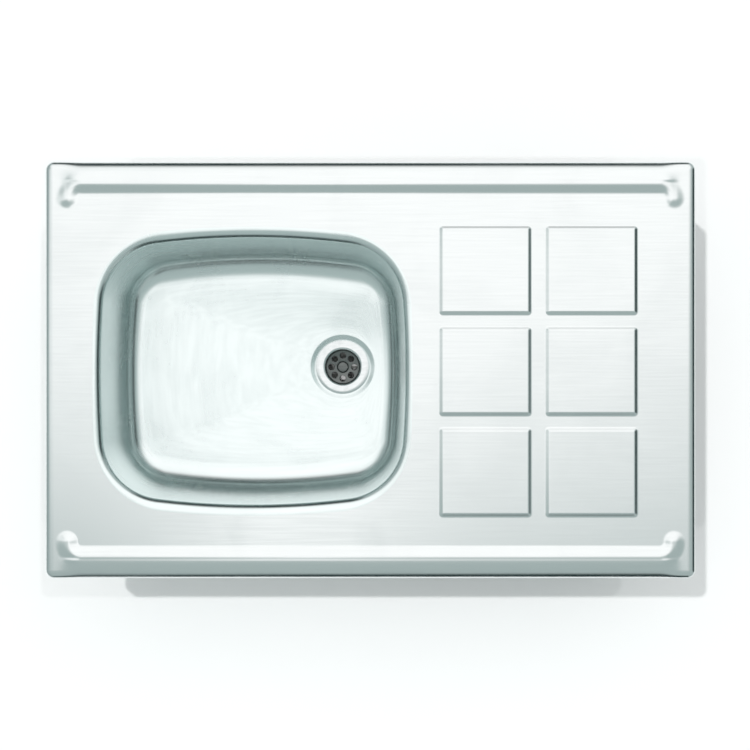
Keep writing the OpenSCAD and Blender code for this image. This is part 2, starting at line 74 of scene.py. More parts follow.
# four corner arcs joined by four shallow arcs, each tangent to the next
def bowedOutline(half, corner, bowEnds, bowLong, grow, cornerSteps, sideSteps):
    radius = corner + grow
    cx, cy = half[0] - corner - bowEnds, half[1] - corner - bowLong
    ends, long = (2 * math.degrees(math.atan(b / c)) for b, c in ((bowEnds, cy), (bowLong, cx)))
    endsRadius = radius + cy / math.sin(math.radians(ends))
    longRadius = radius + cx / math.sin(math.radians(long))
    endsX, longY = half[0] + grow - endsRadius, half[1] + grow - longRadius
    arcs = (((cx, cy), radius, ends, 90 - long), ((0, longY), longRadius, 90 - long, 90 + long),
            ((-cx, cy), radius, 90 + long, 180 - ends), ((-endsX, 0), endsRadius, 180 - ends, 180 + ends),
            ((-cx, -cy), radius, 180 + ends, 270 - long), ((0, -longY), longRadius, 270 - long, 270 + long),
            ((cx, -cy), radius, 270 + long, 360 - ends), ((endsX, 0), endsRadius, 360 - ends, 360 + ends))
    points = []
    for k, (middle, r, start, end) in enumerate(arcs):
        points += arcPoints(middle, r, start, end, sideSteps if k % 2 else cornerSteps)
    return points


# outline at a distance from an open bead line: straight, with a quarter turn and a round cap at each end
def beadOutline(straight, turnRadius, distance, turnSteps, capSteps):
    points = arcPoints((straight, -turnRadius), turnRadius + distance, 90, 0, turnSteps)
    points += arcPoints((straight + turnRadius, -turnRadius), distance, 0, -180, capSteps)
    points += arcPoints((straight, -turnRadius), turnRadius - distance, 0, 90, turnSteps)
    points.append((straight, -distance))
    points += [(-x, y) for x, y in reversed(points[-turnSteps - 1:])]
    points += arcPoints((-straight - turnRadius, -turnRadius), distance, 0, -180, capSteps)
    points += arcPoints((-straight, -turnRadius), turnRadius + distance, 180, 90, turnSteps)
    points.append((-straight, distance))
    return points[::-1]


# points of an open path whose inner corners are rounded, as (x, z)
def filletedPath(corners, radii, steps=6):
    path = [corners[0]]
    for before, corner, after, radius in zip(corners, corners[1:], corners[2:], radii):
        a, b, c = Vector(before), Vector(corner), Vector(after)
        u, v = (a - b).normalized(), (c - b).normalized()
        half = u.angle(v) / 2
        run = radius / math.tan(half)
        middle = b + (u + v).normalized() * (radius / math.sin(half))
        p, q = b + u * run - middle, b + v * run - middle
        whole = p.angle(q)
        for i in range(steps + 1):
            t = i / steps
            spin = (p * math.sin((1 - t) * whole) + q * math.sin(t * whole)) / math.sin(whole)
            path.append(tuple(middle + spin))
    path.append(corners[-1])
    return path


# a surface of rings, lofts and flat fills, with the place of each face's corners on the sheet
class SheetSurface:
    def __init__(self):
        self.points, self.faces, self.places = [], [], []

    def ring(self, outline, z):
        start = len(self.points)
        heights = z if isinstance(z, list) else [z] * len(outline)
        self.points += [(x * mm, y * mm, h * mm) for (x, y), h in zip(outline, heights)]
        return list(range(start, len(self.points)))

    def face(self, corners, places=None):
        self.faces.append(corners)
        self.places.append(places or [self.points[k][:2] for k in corners])

    # outer and inner run anticlockwise, and the face between them looks up
    def loft(self, outer, inner, along=None, down=None):
        count = len(outer)
        for i in range(count):
            j = (i + 1) % count
            places = along and [(along[i], down[0]), (along[i + 1], down[0]),
                                (along[i + 1], down[1]), (along[i], down[1])]
            self.face((outer[i], outer[j], inner[j], inner[i]), places)

    # in a closed row of rings the last one is joined to the first
    def rings(self, outlines, closed=False):
        made = [self.ring(outline, z) for outline, z in outlines]
        for outer, inner in zip(made, made[1:] + made[:1] if closed else made[1:]):
            self.loft(outer, inner)
        return made

    # extra points stand free inside the outline and only shape the surface
    def fill(self, outer, holes=(), lines=(), extra=()):
        flat, known, owner = [], {}, []

        def place(index):
            x, y = self.points[index][0] / mm, self.points[index][1] / mm
            key = (round(x, 4), round(y, 4))
            if key not in known:
                known[key] = len(flat)
                flat.append(Vector((x, y)))
                owner.append(index)
            return known[key]

        loops = [[place(i) for i in ring] for ring in (outer, *holes)]
        edges = [(a, b) for loop in loops for a, b in zip(loop, loop[1:] + loop[:1]) if a != b]
        edges += [(place(a), place(b)) for a, b in lines]
        for index in extra:
            place(index)
        found, _, triangles, origin, _, _ = delaunay_2d_cdt(flat, edges, [], 1, 1e-5)
        outlines = [[flat[k] for k in loop] for loop in loops[1:]]
        for triangle in triangles:
            middle = sum((found[k] for k in triangle), Vector((0, 0))) / 3
            if any(pointInside(middle, outline) for outline in outlines):
                continue
            self.face(tuple(owner[origin[k][0]] for k in triangle))


def pointInside(point, outline):
    inside = False
    for a, b in zip(outline, outline[1:] + outline[:1]):
        if (a[1] > point[1]) != (b[1] > point[1]):
            if point[0] < (b[0] - a[0]) * (point[1] - a[1]) / (b[1] - a[1]) + a[0]:
                inside = not inside
    return inside


# least gap between points and least length of an edge, in metres, the angles, in degrees, from
# which an edge looks sharp or gets a bevel, and the length in millimetres that counts as none
meshLimits = {"weld": 2e-6, "thin": 1e-7, "sharp": 38, "bevel": 50, "none": 1e-6}


def linkMesh(name, mesh, material=None):
    piece = bpy.data.objects.new(name, mesh)
    bpy.context.scene.collection.objects.link(piece)
    if material:
        mesh.materials.append(material)
    return piece


def smoothFaces(mesh, angle=meshLimits["sharp"]):
    mesh.polygons.foreach_set("use_smooth", [True] * len(mesh.polygons))
    mesh.set_sharp_from_angle(angle=math.radians(angle))


# mesh of a surface; closed ones get their normals set outwards
def surfaceMesh(name, surface, closed=False):
    bm = bmesh.new()
    uv = bm.loops.layers.uv.new("sheetMap")
    corners = [bm.verts.new(p) for p in surface.points]
    for indices, places in zip(surface.faces, surface.places):
        face = bm.faces.new([corners[i] for i in indices])
        for loop, place in zip(face.loops, places):
            loop[uv].uv = place
    bmesh.ops.remove_doubles(bm, verts=bm.verts, dist=meshLimits["weld"])
    bmesh.ops.dissolve_degenerate(bm, edges=bm.edges, dist=meshLimits["thin"])
    if closed:
        bmesh.ops.recalc_face_normals(bm, faces=bm.faces)
    return writeMesh(bm, bpy.data.meshes.new(name))


def writeMesh(bm, mesh):
    bm.to_mesh(mesh)
    bm.free()
    return mesh


def surfacePiece(name, surface, material=None):
    return linkMesh(name, surfaceMesh(name, surface), material)


# piece of a closed surface, faceted where no angle is given
def solidPiece(name, surface, material=None, angle=None):
    mesh = surfaceMesh(name, surface, closed=True)
    if angle:
        smoothFaces(mesh, angle)
    return linkMesh(name, mesh, material)


# solid turned about an upright axis; profile runs round it as (radius, z)
def turnedPiece(name, profile, material, segments=96, angle=meshLimits["sharp"]):
    surface = SheetSurface()
    surface.rings([(circlePoints(max(r, 0), segments), z) for r, z in profile], closed=True)
    return solidPiece(name, surface, material, angle)


def shiftMesh(mesh, middle, height=0):
    for v in mesh.vertices:
        v.co += Vector((middle[0] * mm, middle[1] * mm, height * mm))


# turns the faces over, also where the mesh is mirrored to the other side
def turnOver(mesh, mirrored=False):
    bm = bmesh.new()
    bm.from_mesh(mesh)
    if mirrored:
        for v in bm.verts:
            v.co.x = -v.co.x
    bmesh.ops.reverse_faces(bm, faces=bm.faces)
    writeMesh(bm, mesh)


def placePiece(piece, node, body="sink"):
    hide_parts(node)
    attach(piece, body)


# plain mesh of an object with its modifiers applied
def applied(piece):
    bpy.context.view_layer.update()
    done = bpy.data.meshes.new_from_object(piece.evaluated_get(bpy.context.evaluated_depsgraph_get()))
    piece.modifiers.clear()
    old, piece.data = piece.data, done
    done.name = old.name
    bpy.data.meshes.remove(old)
    return piece


def thicken(piece, sheet, bevel=0, angle=meshLimits["sharp"]):
    solid = piece.modifiers.new("thickness", "SOLIDIFY")
    solid.thickness, solid.offset = sheet * mm, -1
    solid.use_even_offset = True
    if bevel:
        soft = piece.modifiers.new("softEdge", "BEVEL")
        soft.width, soft.segments = bevel * mm, 2
        soft.limit_method, soft.angle_limit = "ANGLE", math.radians(meshLimits["bevel"])
        soft.use_clamp_overlap = True
    applied(piece)
    smoothFaces(piece.data, angle)


# node trees for geometry and for shaders

class NodeBuilder:
    def __init__(self, tree):
        self.tree = tree

    def node(self, kind, inputs=None, **settings):
        node = self.tree.nodes.new(kind)
        for key, value in settings.items():
            setattr(node, key, value)
        for key, value in (inputs or {}).items():
            self.put(node.inputs[key], value)
        return node

    def put(self, socket, value):
        if isinstance(value, bpy.types.NodeSocket):
            self.tree.links.new(value, socket)
        else:
            socket.default_value = value

    def math(self, operation, a, b=0.0, c=0.0):
        return self.node("ShaderNodeMath", {0: a, 1: b, 2: c}, operation=operation).outputs[0]

    def between(self, value, low, high, toLow=0.0, toHigh=1.0):
        return self.node("ShaderNodeMapRange", {"Value": value, "From Min": low, "From Max": high,
                                                "To Min": toLow, "To Max": toHigh},
                         interpolation_type="SMOOTHSTEP").outputs["Result"]

    # colours are sockets or three values
    def tint(self, share, first, second):
        node = self.node("ShaderNodeMix", {"Factor": share}, data_type="RGBA")
        for index, colour in ((6, first), (7, second)):
            self.put(node.inputs[index], (*colour, 1) if isinstance(colour, tuple) else colour)
        return node.outputs[2]

    def noise(self, where, scale, detail=2.0, roughness=0.5, distortion=0.0):
        return self.node("ShaderNodeTexNoise", {"Vector": where, "Scale": scale, "Detail": detail,
                                                "Roughness": roughness, "Distortion": distortion}).outputs[0]


def nodeGroup(name, kind, inputs, outputs):
    tree = bpy.data.node_groups.new(name, kind + "NodeTree")
    for way, sockets in (("INPUT", inputs), ("OUTPUT", outputs)):
        for label, value in sockets.items():
            tree.interface.new_socket(label, in_out=way, socket_type="NodeSocket" + value)
    b = NodeBuilder(tree)
    return b, b.node("NodeGroupInput").outputs, b.node("NodeGroupOutput").inputs


def geometryGroup(name, inputs):
    return nodeGroup(name, "Geometry", {"Geometry": "Geometry", **inputs, "Material": "Material"},
                     {"Geometry": "Geometry"})


# joins new geometry to the given one, welds them where a gap is named, and paints the whole
def finishGroup(b, given, out, added, weld=None):
    both = b.node("GeometryNodeJoinGeometry")
    for part in (given["Geometry"], added):
        b.put(both.inputs["Geometry"], part)
    whole = both.outputs["Geometry"]
    if weld:
        whole = b.node("GeometryNodeMergeByDistance", {"Geometry": whole, "Distance": weld}).outputs[0]
    whole = b.node("GeometryNodeRealizeInstances", {"Geometry": whole}).outputs[0]
    whole = b.node("GeometryNodeSetMaterial", {"Geometry": whole, "Material": given["Material"]}).outputs[0]
    b.put(out["Geometry"], whole)
    return b.tree


# copies one shape onto points round Middle and welds it into the sheet's holes
def placeCopies(b, given, out, points, turn=None):
    places = b.node("GeometryNodeTransform", {"Geometry": points, "Translation": given["Middle"]}).outputs[0]
    shape = b.node("GeometryNodeObjectInfo", {"Object": given["Shape"]}).outputs["Geometry"]
    copies = b.node("GeometryNodeInstanceOnPoints", {"Points": places, "Instance": shape})
    if turn:
        b.put(copies.inputs["Rotation"], turn)
    realize = b.node("GeometryNodeRealizeInstances", {"Geometry": copies.outputs["Instances"]})
    return finishGroup(b, given, out, realize.outputs["Geometry"], 2 * meshLimits["weld"])


def gridTree():
    b, given, out = geometryGroup("pressedGrid", {
        "Shape": "Object", "Columns": "Int", "Rows": "Int", "Column Step": "Float", "Row Step": "Float",
        "Middle": "Vector"})
    sizes = {}
    for axis, count, step in (("X", "Columns", "Column Step"), ("Y", "Rows", "Row Step")):
        sizes["Size " + axis] = b.math("MULTIPLY", b.math("SUBTRACT", given[count], 1), given[step])
        sizes["Vertices " + axis] = given[count]
    return placeCopies(b, given, out, b.node("GeometryNodeMeshGrid", sizes).outputs["Mesh"])


def circleTree():
    b, given, out = geometryGroup("turnedCopies", {"Shape": "Object", "Count": "Int", "Middle": "Vector"})
    line = b.node("GeometryNodeMeshLine", {"Count": given["Count"], "Offset": (0, 0, 0)})
    share = b.math("DIVIDE", b.node("GeometryNodeInputIndex").outputs[0], given["Count"])
    turn = b.node("ShaderNodeCombineXYZ", {"Z": b.math("MULTIPLY", share, math.tau)})
    return placeCopies(b, given, out, line.outputs["Mesh"], turn.outputs[0])


# winds a ridge round an upright core
def threadTree():
    b, given, out = geometryGroup("threadRidge", {"Core Radius": "Float", "Pitch": "Float", "Length": "Float",
                                                  "Ridge": "Float", "Start": "Vector"})
    spiral = b.node("GeometryNodeCurveSpiral", {
        "Resolution": 40, "Rotations": b.math("DIVIDE", given["Length"], given["Pitch"]),
        "Start Radius": given["Core Radius"], "End Radius": given["Core Radius"], "Height": given["Length"]})
    section = b.node("GeometryNodeCurvePrimitiveCircle", {"Resolution": 4, "Radius": given["Ridge"]})
    sweep = b.node("GeometryNodeCurveToMesh", {"Curve": spiral.outputs["Curve"], "Fill Caps": True,
                                               "Profile Curve": section.outputs["Curve"]})
    move = b.node("GeometryNodeTransform", {"Geometry": sweep.outputs["Mesh"], "Translation": given["Start"]})
    return finishGroup(b, given, out, move.outputs["Geometry"])


def runTree(piece, tree, values):
    modifier = piece.modifiers.new(tree.name, "NODES")
    modifier.node_group = tree
    sockets = {s.name: s.identifier for s in tree.interface.items_tree
               if s.item_type == "SOCKET" and s.in_out == "INPUT"}
    for label, value in values.items():
        modifier[sockets[label]] = value
    return applied(piece)


pressedGrid, turnedCopies, threadRidge = gridTree(), circleTree(), threadTree()
print("trees built:", pressedGrid.name, turnedCopies.name, threadRidge.name)


grainLook = {"fineDetail": 4.0, "fineRough": 0.62, "broadScale": 0.17, "broadShare": 0.35, "toneFrom": 0.3,
             "toneTo": 0.7}
marksLook = {"detail": 5.0, "rough": 0.55, "distortion": 0.6, "wipedFrom": 0.42, "wipedTo": 0.68,
             "dropScale": 6.0, "dropInside": 0.12, "dropOutside": 0.2, "chanceScale": 9.0, "chanceFrom": 0.6,
             "chanceTo": 0.66}
waveLook = {"detail": 1.0, "rough": 0.4}


# fine lines left by the finishing belt: Height for the bump, Tone for colour and roughness
def satinGrainGroup():
    g = grainLook
    b, given, out = nodeGroup("satinGrain", "Shader",
                              {"Vector": "Vector", "Lines": "Float", "Stretch": "Float"},
                              {"Height": "Float", "Tone": "Float"})
    along = b.math("DIVIDE", given["Lines"], given["Stretch"])
    spread = b.node("ShaderNodeCombineXYZ", {"X": along, "Y": given["Lines"], "Z": given["Lines"]})
    place = b.node("ShaderNodeVectorMath", {0: given["Vector"], 1: spread.outputs[0]}, operation="MULTIPLY")
    fine = b.noise(place.outputs[0], 1.0, g["fineDetail"], g["fineRough"])
    broad = b.noise(place.outputs[0], g["broadScale"])
    b.put(out["Height"], b.math("MULTIPLY_ADD", broad, g["broadShare"],
                                b.math("MULTIPLY", fine, 1 - g["broadShare"])))
    b.put(out["Tone"], b.between(broad, g["toneFrom"], g["toneTo"]))
    return b.tree


# faint wiped patches and dried drops
def handlingMarksGroup():
    m = marksLook
    b, given, out = nodeGroup("handlingMarks", "Shader", {"Vector": "Vector", "Scale": "Float"},
                              {"Wiped": "Float", "Drops": "Float"})
    cloudy = b.noise(given["Vector"], given["Scale"], m["detail"], m["rough"], m["distortion"])
    b.put(out["Wiped"], b.between(cloudy, m["wipedFrom"], m["wipedTo"]))
    cells = b.node("ShaderNodeTexVoronoi", {"Vector": given["Vector"], "Randomness": 1.0,
                                            "Scale": b.math("MULTIPLY", given["Scale"], m["dropScale"])})
    chance = b.noise(cells.outputs["Position"], b.math("MULTIPLY", given["Scale"], m["chanceScale"]))
    spot = b.between(cells.outputs["Distance"], m["dropInside"], m["dropOutside"], 1.0, 0.0)
    b.put(out["Drops"], b.math("MULTIPLY", spot, b.between(chance, m["chanceFrom"], m["chanceTo"])))
    return b.tree


# slow waviness of pressed sheet
def sheetWaveGroup():
    b, given, out = nodeGroup("sheetWave", "Shader", {"Vector": "Vector", "Scale": "Float"},
                              {"Height": "Float"})
    b.put(out["Height"], b.noise(given["Vector"], given["Scale"], *waveLook.values()))
    return b.tree


satinGrain, handlingMarks, sheetWave = satinGrainGroup(), handlingMarksGroup(), sheetWaveGroup()


def newMaterial(name):
    material = bpy.data.materials.new(name)
    material.use_nodes = True
    b = NodeBuilder(material.node_tree)
    principled = next(n for n in b.tree.nodes if n.type == "BSDF_PRINCIPLED")
    material.diffuse_color = (0.7, 0.7, 0.7, 1)
    return material, b, principled, b.node("ShaderNodeTexCoord").outputs["Object"]


def marksAt(b, where, look):
    return b.node("ShaderNodeGroup", {"Vector": where, "Scale": look["markScale"]},
                  node_tree=handlingMarks).outputs


# bump on bump: each layer is (height, distance in metres)
def stackBumps(b, principled, *layers):
    normal = None
    for height, distance in layers:
        bump = b.node("ShaderNodeBump", {"Height": height, "Strength": 1.0, "Distance": distance})
        if normal:
            b.put(bump.inputs["Normal"], normal)
        normal = bump.outputs["Normal"]
    b.put(principled.inputs["Normal"], normal)


def steelMaterial(name, look):
    material, b, shader, where = newMaterial(name)
    b.put(shader.inputs["Metallic"], 1.0)
    along = b.node("ShaderNodeUVMap", uv_map="sheetMap").outputs[0] if look["mapped"] else where
    grain = b.node("ShaderNodeGroup", {"Vector": along, "Lines": look["lines"], "Stretch": look["stretch"]},
                   node_tree=satinGrain).outputs
    wave = b.node("ShaderNodeGroup", {"Vector": where, "Scale": look["waveScale"]},
                  node_tree=sheetWave).outputs
    marks = marksAt(b, where, look)
    worn = b.math("MULTIPLY_ADD", marks["Drops"], 0.5, marks["Wiped"])
    rough = b.math("MULTIPLY_ADD", worn, look["markRough"], look["rough"])
    rough = b.math("MULTIPLY_ADD", grain["Tone"], look["grainRough"], rough)
    shade = b.math("MULTIPLY_ADD", grain["Tone"], 0.5, b.math("MULTIPLY", marks["Wiped"], 0.5))
    colour = b.tint(shade, look["light"], look["dark"])
    # painted shade: below a given height the waste cup's colour turns dark, with patchy edges, standing in
    # for the shade low in the cup; the dark part is also made rougher
    if "paintedCupShade" in look:
        paintedCupShade = look["paintedCupShade"]
        high = b.node("ShaderNodeSeparateXYZ", {"Vector": where}).outputs["Z"]
        patches = b.math("SUBTRACT", b.noise(where, paintedCupShade["patchScale"], 3.0), 0.5)
        high = b.math("MULTIPLY_ADD", patches, paintedCupShade["patchReach"], high)
        cover = b.between(high, paintedCupShade["full"], paintedCupShade["clear"], 1.0, 0.0)
        colour = b.tint(cover, colour, paintedCupShade["colour"])
        rough = b.math("MULTIPLY_ADD", cover, paintedCupShade["rough"], rough)
    b.put(shader.inputs["Roughness"], rough)
    b.put(shader.inputs["Base Color"], colour)
    stackBumps(b, shader, (wave["Height"], look["waveDepth"]), (grain["Height"], look["grainDepth"]))
    return material


sinkSteel = steelMaterial("sinkSteel", {
    "light": (0.805, 0.845, 0.842), "dark": (0.78, 0.82, 0.818), "rough": 0.18, "markRough": 0.03,
    "grainRough": 0.03, "lines": 2600.0, "stretch": 40.0, "markScale": 9.0, "waveScale": 5.5,
    "waveDepth": 0.0002, "grainDepth": 0.0000012, "mapped": True})
# the bowl is the same steel as the deck, with its own grain and roughness; its brighter, more teal base
# colour is painted light that brightens the bowl as if it were better lit
bowlSteel = steelMaterial("bowlSteel", {
    "light": (0.83, 0.9, 0.894), "dark": (0.8, 0.87, 0.864), "rough": 0.23, "markRough": 0.03,
    "grainRough": 0.03, "lines": 2200.0, "stretch": 22.0, "markScale": 10.0, "waveScale": 8.0,
    "waveDepth": 0.00015, "grainDepth": 0.0000006, "mapped": True})
tagSteel = steelMaterial("tagSteel", {
    "light": (0.8, 0.815, 0.815), "dark": (0.72, 0.735, 0.738), "rough": 0.26, "markRough": 0.06,
    "grainRough": 0.05, "lines": 2400.0, "stretch": 10.0, "markScale": 60.0, "waveScale": 30.0,
    "waveDepth": 0.00003, "grainDepth": 0.000003, "mapped": False})
wasteSteel = steelMaterial("wasteSteel", {
    "light": (0.77, 0.81, 0.81), "dark": (0.69, 0.73, 0.73), "rough": 0.14, "markRough": 0.08,
    "grainRough": 0.04, "lines": 3200.0, "stretch": 8.0, "markScale": 40.0, "waveScale": 30.0,
    "waveDepth": 0.00005, "grainDepth": 0.000002, "mapped": False,
    # the dark colour low in the cup is painted shade
    "paintedCupShade": {"colour": (0.2, 0.215, 0.21), "full": -0.1285, "clear": -0.1225, "rough": 0.22,
             "patchScale": 260.0, "patchReach": 0.003}})
zincPlate = steelMaterial("zincPlate", {
    "light": (0.66, 0.69, 0.72), "dark": (0.52, 0.55, 0.57), "rough": 0.34, "markRough": 0.12,
    "grainRough": 0.08, "lines": 900.0, "stretch": 3.0, "markScale": 45.0, "waveScale": 60.0,
    "waveDepth": 0.00004, "grainDepth": 0.000012, "mapped": False})
brassCast = steelMaterial("brassCast", {
    "light": (0.8, 0.63, 0.31), "dark": (0.66, 0.5, 0.24), "rough": 0.27, "markRough": 0.1,
    "grainRough": 0.06, "lines": 2600.0, "stretch": 1.0, "markScale": 120.0, "waveScale": 90.0,
    "waveDepth": 0.00002, "grainDepth": 0.000006, "mapped": False})


# wiped patches between two colours, a little rougher than the rest; returns the shader's parts and the colour
def markedMaterial(name, look, first, second):
    material, b, shader, where = newMaterial(name)
    wiped = marksAt(b, where, look)["Wiped"]
    b.put(shader.inputs["Roughness"], b.math("MULTIPLY_ADD", wiped, look["wipedRough"], look["rough"]))
    return material, b, shader, where, b.tint(wiped, look[first], look[second])


# matt black sheet with a pressed diamond pattern, or plain moulded rubber when the pattern is 0
def rubberMaterial(name, look):
    material, b, shader, where, colour = markedMaterial(name, look, "dark", "light")
    b.put(shader.inputs["Base Color"], colour)
    layers = [(b.noise(where, look["poreScale"], 3.0), look["poreDepth"])]
    if look["pattern"]:
        parts = b.node("ShaderNodeSeparateXYZ", {"Vector": where}).outputs
        lines = []
        for sign in (1.0, -1.0):
            slant = b.math("MULTIPLY_ADD", parts["Y"], sign, parts["X"])
            wave = b.math("PINGPONG", slant, look["pattern"])
            lines.append(b.between(wave, 0.0, look["pattern"] * look["groove"]))
        layers.append((b.math("MINIMUM", *lines), look["patternDepth"]))
    stackBumps(b, shader, *layers)
    return material


bitumenSheet = rubberMaterial("bitumenSheet", {
    "dark": (0.03, 0.03, 0.033), "light": (0.07, 0.07, 0.075), "rough": 0.62, "wipedRough": 0.12,
    "markScale": 14.0, "poreScale": 900.0, "poreDepth": 0.00012, "pattern": 0.006, "groove": 0.22,
    "patternDepth": 0.0006})
sealRubber = rubberMaterial("sealRubber", {
    "dark": (0.025, 0.026, 0.028), "light": (0.05, 0.052, 0.056), "rough": 0.5, "wipedRough": 0.12,
    "markScale": 60.0, "poreScale": 2500.0, "poreDepth": 0.00003, "pattern": 0})


def plasticMaterial(name, look):
    material, b, shader, where, colour = markedMaterial(name, look, "light", "dark")
    # painted shade: within about 20 to 24 mm of the waste's axis, inside the body's bore, the plastic is
    # painted near black, standing in for the shade seen through the cup's drain holes
    paintedBoreShade = look["paintedBoreShade"]
    off = b.node("ShaderNodeVectorMath", {0: where, 1: paintedBoreShade["middle"]}, operation="SUBTRACT")
    off = b.node("ShaderNodeVectorMath", {0: off.outputs[0], 1: (1, 1, 0)}, operation="MULTIPLY")
    off = b.node("ShaderNodeVectorMath", {0: off.outputs[0]}, operation="LENGTH")
    height = b.node("ShaderNodeSeparateXYZ", {"Vector": where}).outputs["Z"]
    reach = b.between(height, paintedBoreShade["low"], paintedBoreShade["high"], *paintedBoreShade["reach"])
    inside = b.math("LESS_THAN", off.outputs["Value"], reach)
    b.put(shader.inputs["Base Color"], b.tint(inside, colour, paintedBoreShade["colour"]))
    b.put(shader.inputs["Subsurface Weight"], look["glow"])
    b.put(shader.inputs["Subsurface Radius"], [look["glowReach"]] * 3)
    stackBumps(b, shader, (b.noise(where, look["skinScale"]), look["skinDepth"]))
    return material


wastePlastic = plasticMaterial("wastePlastic", {
    "light": (0.84, 0.84, 0.82), "dark": (0.77, 0.77, 0.74), "rough": 0.36, "wipedRough": 0.1,
    "markScale": 35.0, "skinScale": 1400.0, "skinDepth": 0.00003, "glow": 0.05, "glowReach": 0.002,
    # the near-black colour inside the bore is painted shade
    "paintedBoreShade": {"middle": (-0.037, 0.0045, 0.0), "reach": (0.0204, 0.0243), "low": -0.1487, "high": -0.1467,
              "colour": (0.08, 0.085, 0.08)}})
print("materials built")


# deck, in millimetres as all sizes below

deckSizes = {"halfLength": 390, "halfWidth": 250, "top": 30, "sheet": 0.8, "edgeRadius": 10, "edgeDrop": 4.6,
             "lipWidth": 12, "lipBend": 1.3, "bendSteps": 6, "guard": 0.7, "rollSteps": 18, "cornerSteps": 12}
mouthSizes = {"middle": (-141.5, -1.5), "half": (191, 172), "corner": 91, "bowEnds": 1.5, "bowLong": 5,
              "weld": 1.0, "cornerSteps": 24, "sideSteps": 20}
squareSizes = {"columns": 2, "rows": 3, "length": 110.25, "width": 107, "columnGap": 17, "rowGap": 14,
               "right": 320, "back": 173, "height": 1.8, "flank": 4, "corner": 4.5, "leastCorner": 0.4,
               "footFillet": 5, "topFillet": 5, "steps": 8}
beadSizes = {"fromEdge": 26, "tipFromEnd": 26, "turn": 18, "width": 28, "height": 3.2, "endFade": 0.4,
             "waveSteps": 14, "turnSteps": 18, "capSteps": 28}
borderSizes = {"crest": 224, "reach": 26, "fall": 9, "blend": 4, "fadeStart": 346, "fadeEnd": 374,
               "fadeSteps": 6, "freeStep": 4, "freeClear": 1, "freeColumns": 9, "freeRows": 6, "freeIn": 6,
               "freeFromRoll": 2}


# outline of the bowl's mouth or floor
def bowlOutline(half, corner, bowEnds, bowLong, grow=0):
    m = mouthSizes
    outline = bowedOutline(half, corner, bowEnds, bowLong, grow, m["cornerSteps"], m["sideSteps"])
    return [(x + m["middle"][0], y + m["middle"][1]) for x, y in outline]


def mouthOutline(grow):
    m = mouthSizes
    return bowlOutline(m["half"], m["corner"], m["bowEnds"], m["bowLong"], grow)


# (distance in from the foot, height) along a pressed flank with round edges
def flankSection(height, run, footFillet, topFillet, steps):
    slope = math.atan2(height, run)
    foot, top = (r * math.tan(slope / 2) for r in (footFillet, topFillet))
    section = []
    for i in range(steps + 1):
        a = slope * i / steps
        section.append((-foot + footFillet * math.sin(a), footFillet * (1 - math.cos(a))))
    for i in range(steps + 1):
        a = slope * (1 - i / steps)
        section.append((run + top - topFillet * math.sin(a), height - topFillet * (1 - math.cos(a))))
    return section


def squareOutline(inset):
    s = squareSizes
    return roundedRectangle((0, 0), s["length"] / 2 - inset, s["width"] / 2 - inset,
                            max(s["corner"] - inset, s["leastCorner"]), s["steps"])


# the squares' flank between two flat guard rings
def squareSection():
    s, guard = squareSizes, deckSizes["guard"]
    section = flankSection(s["height"], s["flank"], s["footFillet"], s["topFillet"], s["steps"])
    return [(section[0][0] - guard, 0)] + section + [(section[-1][0] + guard, s["height"])]


def squareShape():
    surface = SheetSurface()
    made = surface.rings([(squareOutline(d), deckSizes["top"] + h) for d, h in squareSection()])
    surface.fill(made[-1])
    return surfacePiece("squareShape", surface)


# (distance from the bead's middle line, height) from the guard ring to the crown, one soft wave
def beadSection():
    s = beadSizes
    reach, count = s["width"] / 2, s["waveSteps"]
    section = [(reach + deckSizes["guard"], 0)]
    for i in range(count + 1):
        share = 1 - i / count
        section.append((reach * share, s["height"] * (1 + math.cos(math.pi * share)) / 2))
    return section


def beadRings(surface, side):
    s, top = beadSizes, deckSizes["top"]
    straight = deckSizes["halfLength"] - s["tipFromEnd"] - s["turn"]
    middleY = deckSizes["halfWidth"] - s["fromEdge"]
    outlines = []
    for distance, height in beadSection():
        outline = beadOutline(straight, s["turn"], distance, s["turnSteps"], s["capSteps"])
        fade = [1 - s["endFade"] * min(max((abs(x) - straight) / s["turn"], 0), 1) for x, y in outline]
        heights = [top + height * share for share in fade]
        outline = [(x, side * (middleY + y)) for x, y in outline]
        outlines.append((outline, heights) if side > 0 else (outline[::-1], heights[::-1]))
    return surface.rings(outlines)[0]


def easeShare(share):
    t = min(max(share, 0), 1)
    return t * t * (3 - 2 * t)


# the border outside each bead falls to the edge in one long curve, which fades out towards the corners
def borderHeight(x, y, z):
    b = borderSizes
    out = abs(y) - b["crest"]
    if out <= 0 or z < deckSizes["top"] - b["fall"]:
        return z
    share = min(out / b["reach"], 1)
    fallen = deckSizes["top"] + beadSizes["height"] - b["fall"] * (1 - math.sqrt(1 - share * share))
    fade = easeShare((abs(x) - b["fadeStart"]) / (b["fadeEnd"] - b["fadeStart"]))
    return z + (fallen - z) * easeShare(out / b["blend"]) * (1 - fade)


# puts points into the long sides of an outline where the border's curve fades
def splitLongSides(outline):
    b = borderSizes
    step = (b["fadeEnd"] - b["fadeStart"]) / b["fadeSteps"]
    marks = [b["fadeStart"] + step * i for i in range(b["fadeSteps"] + 1)]
    marks = [-x for x in reversed(marks)] + marks
    split = []
    for a, c in zip(outline, outline[1:] + outline[:1]):
        split.append(a)
        if abs(a[1] - c[1]) < meshLimits["none"] and abs(a[0] - c[0]) > marks[-1]:
            split += [(x, a[1]) for x in (marks if c[0] > a[0] else reversed(marks))]
    return split


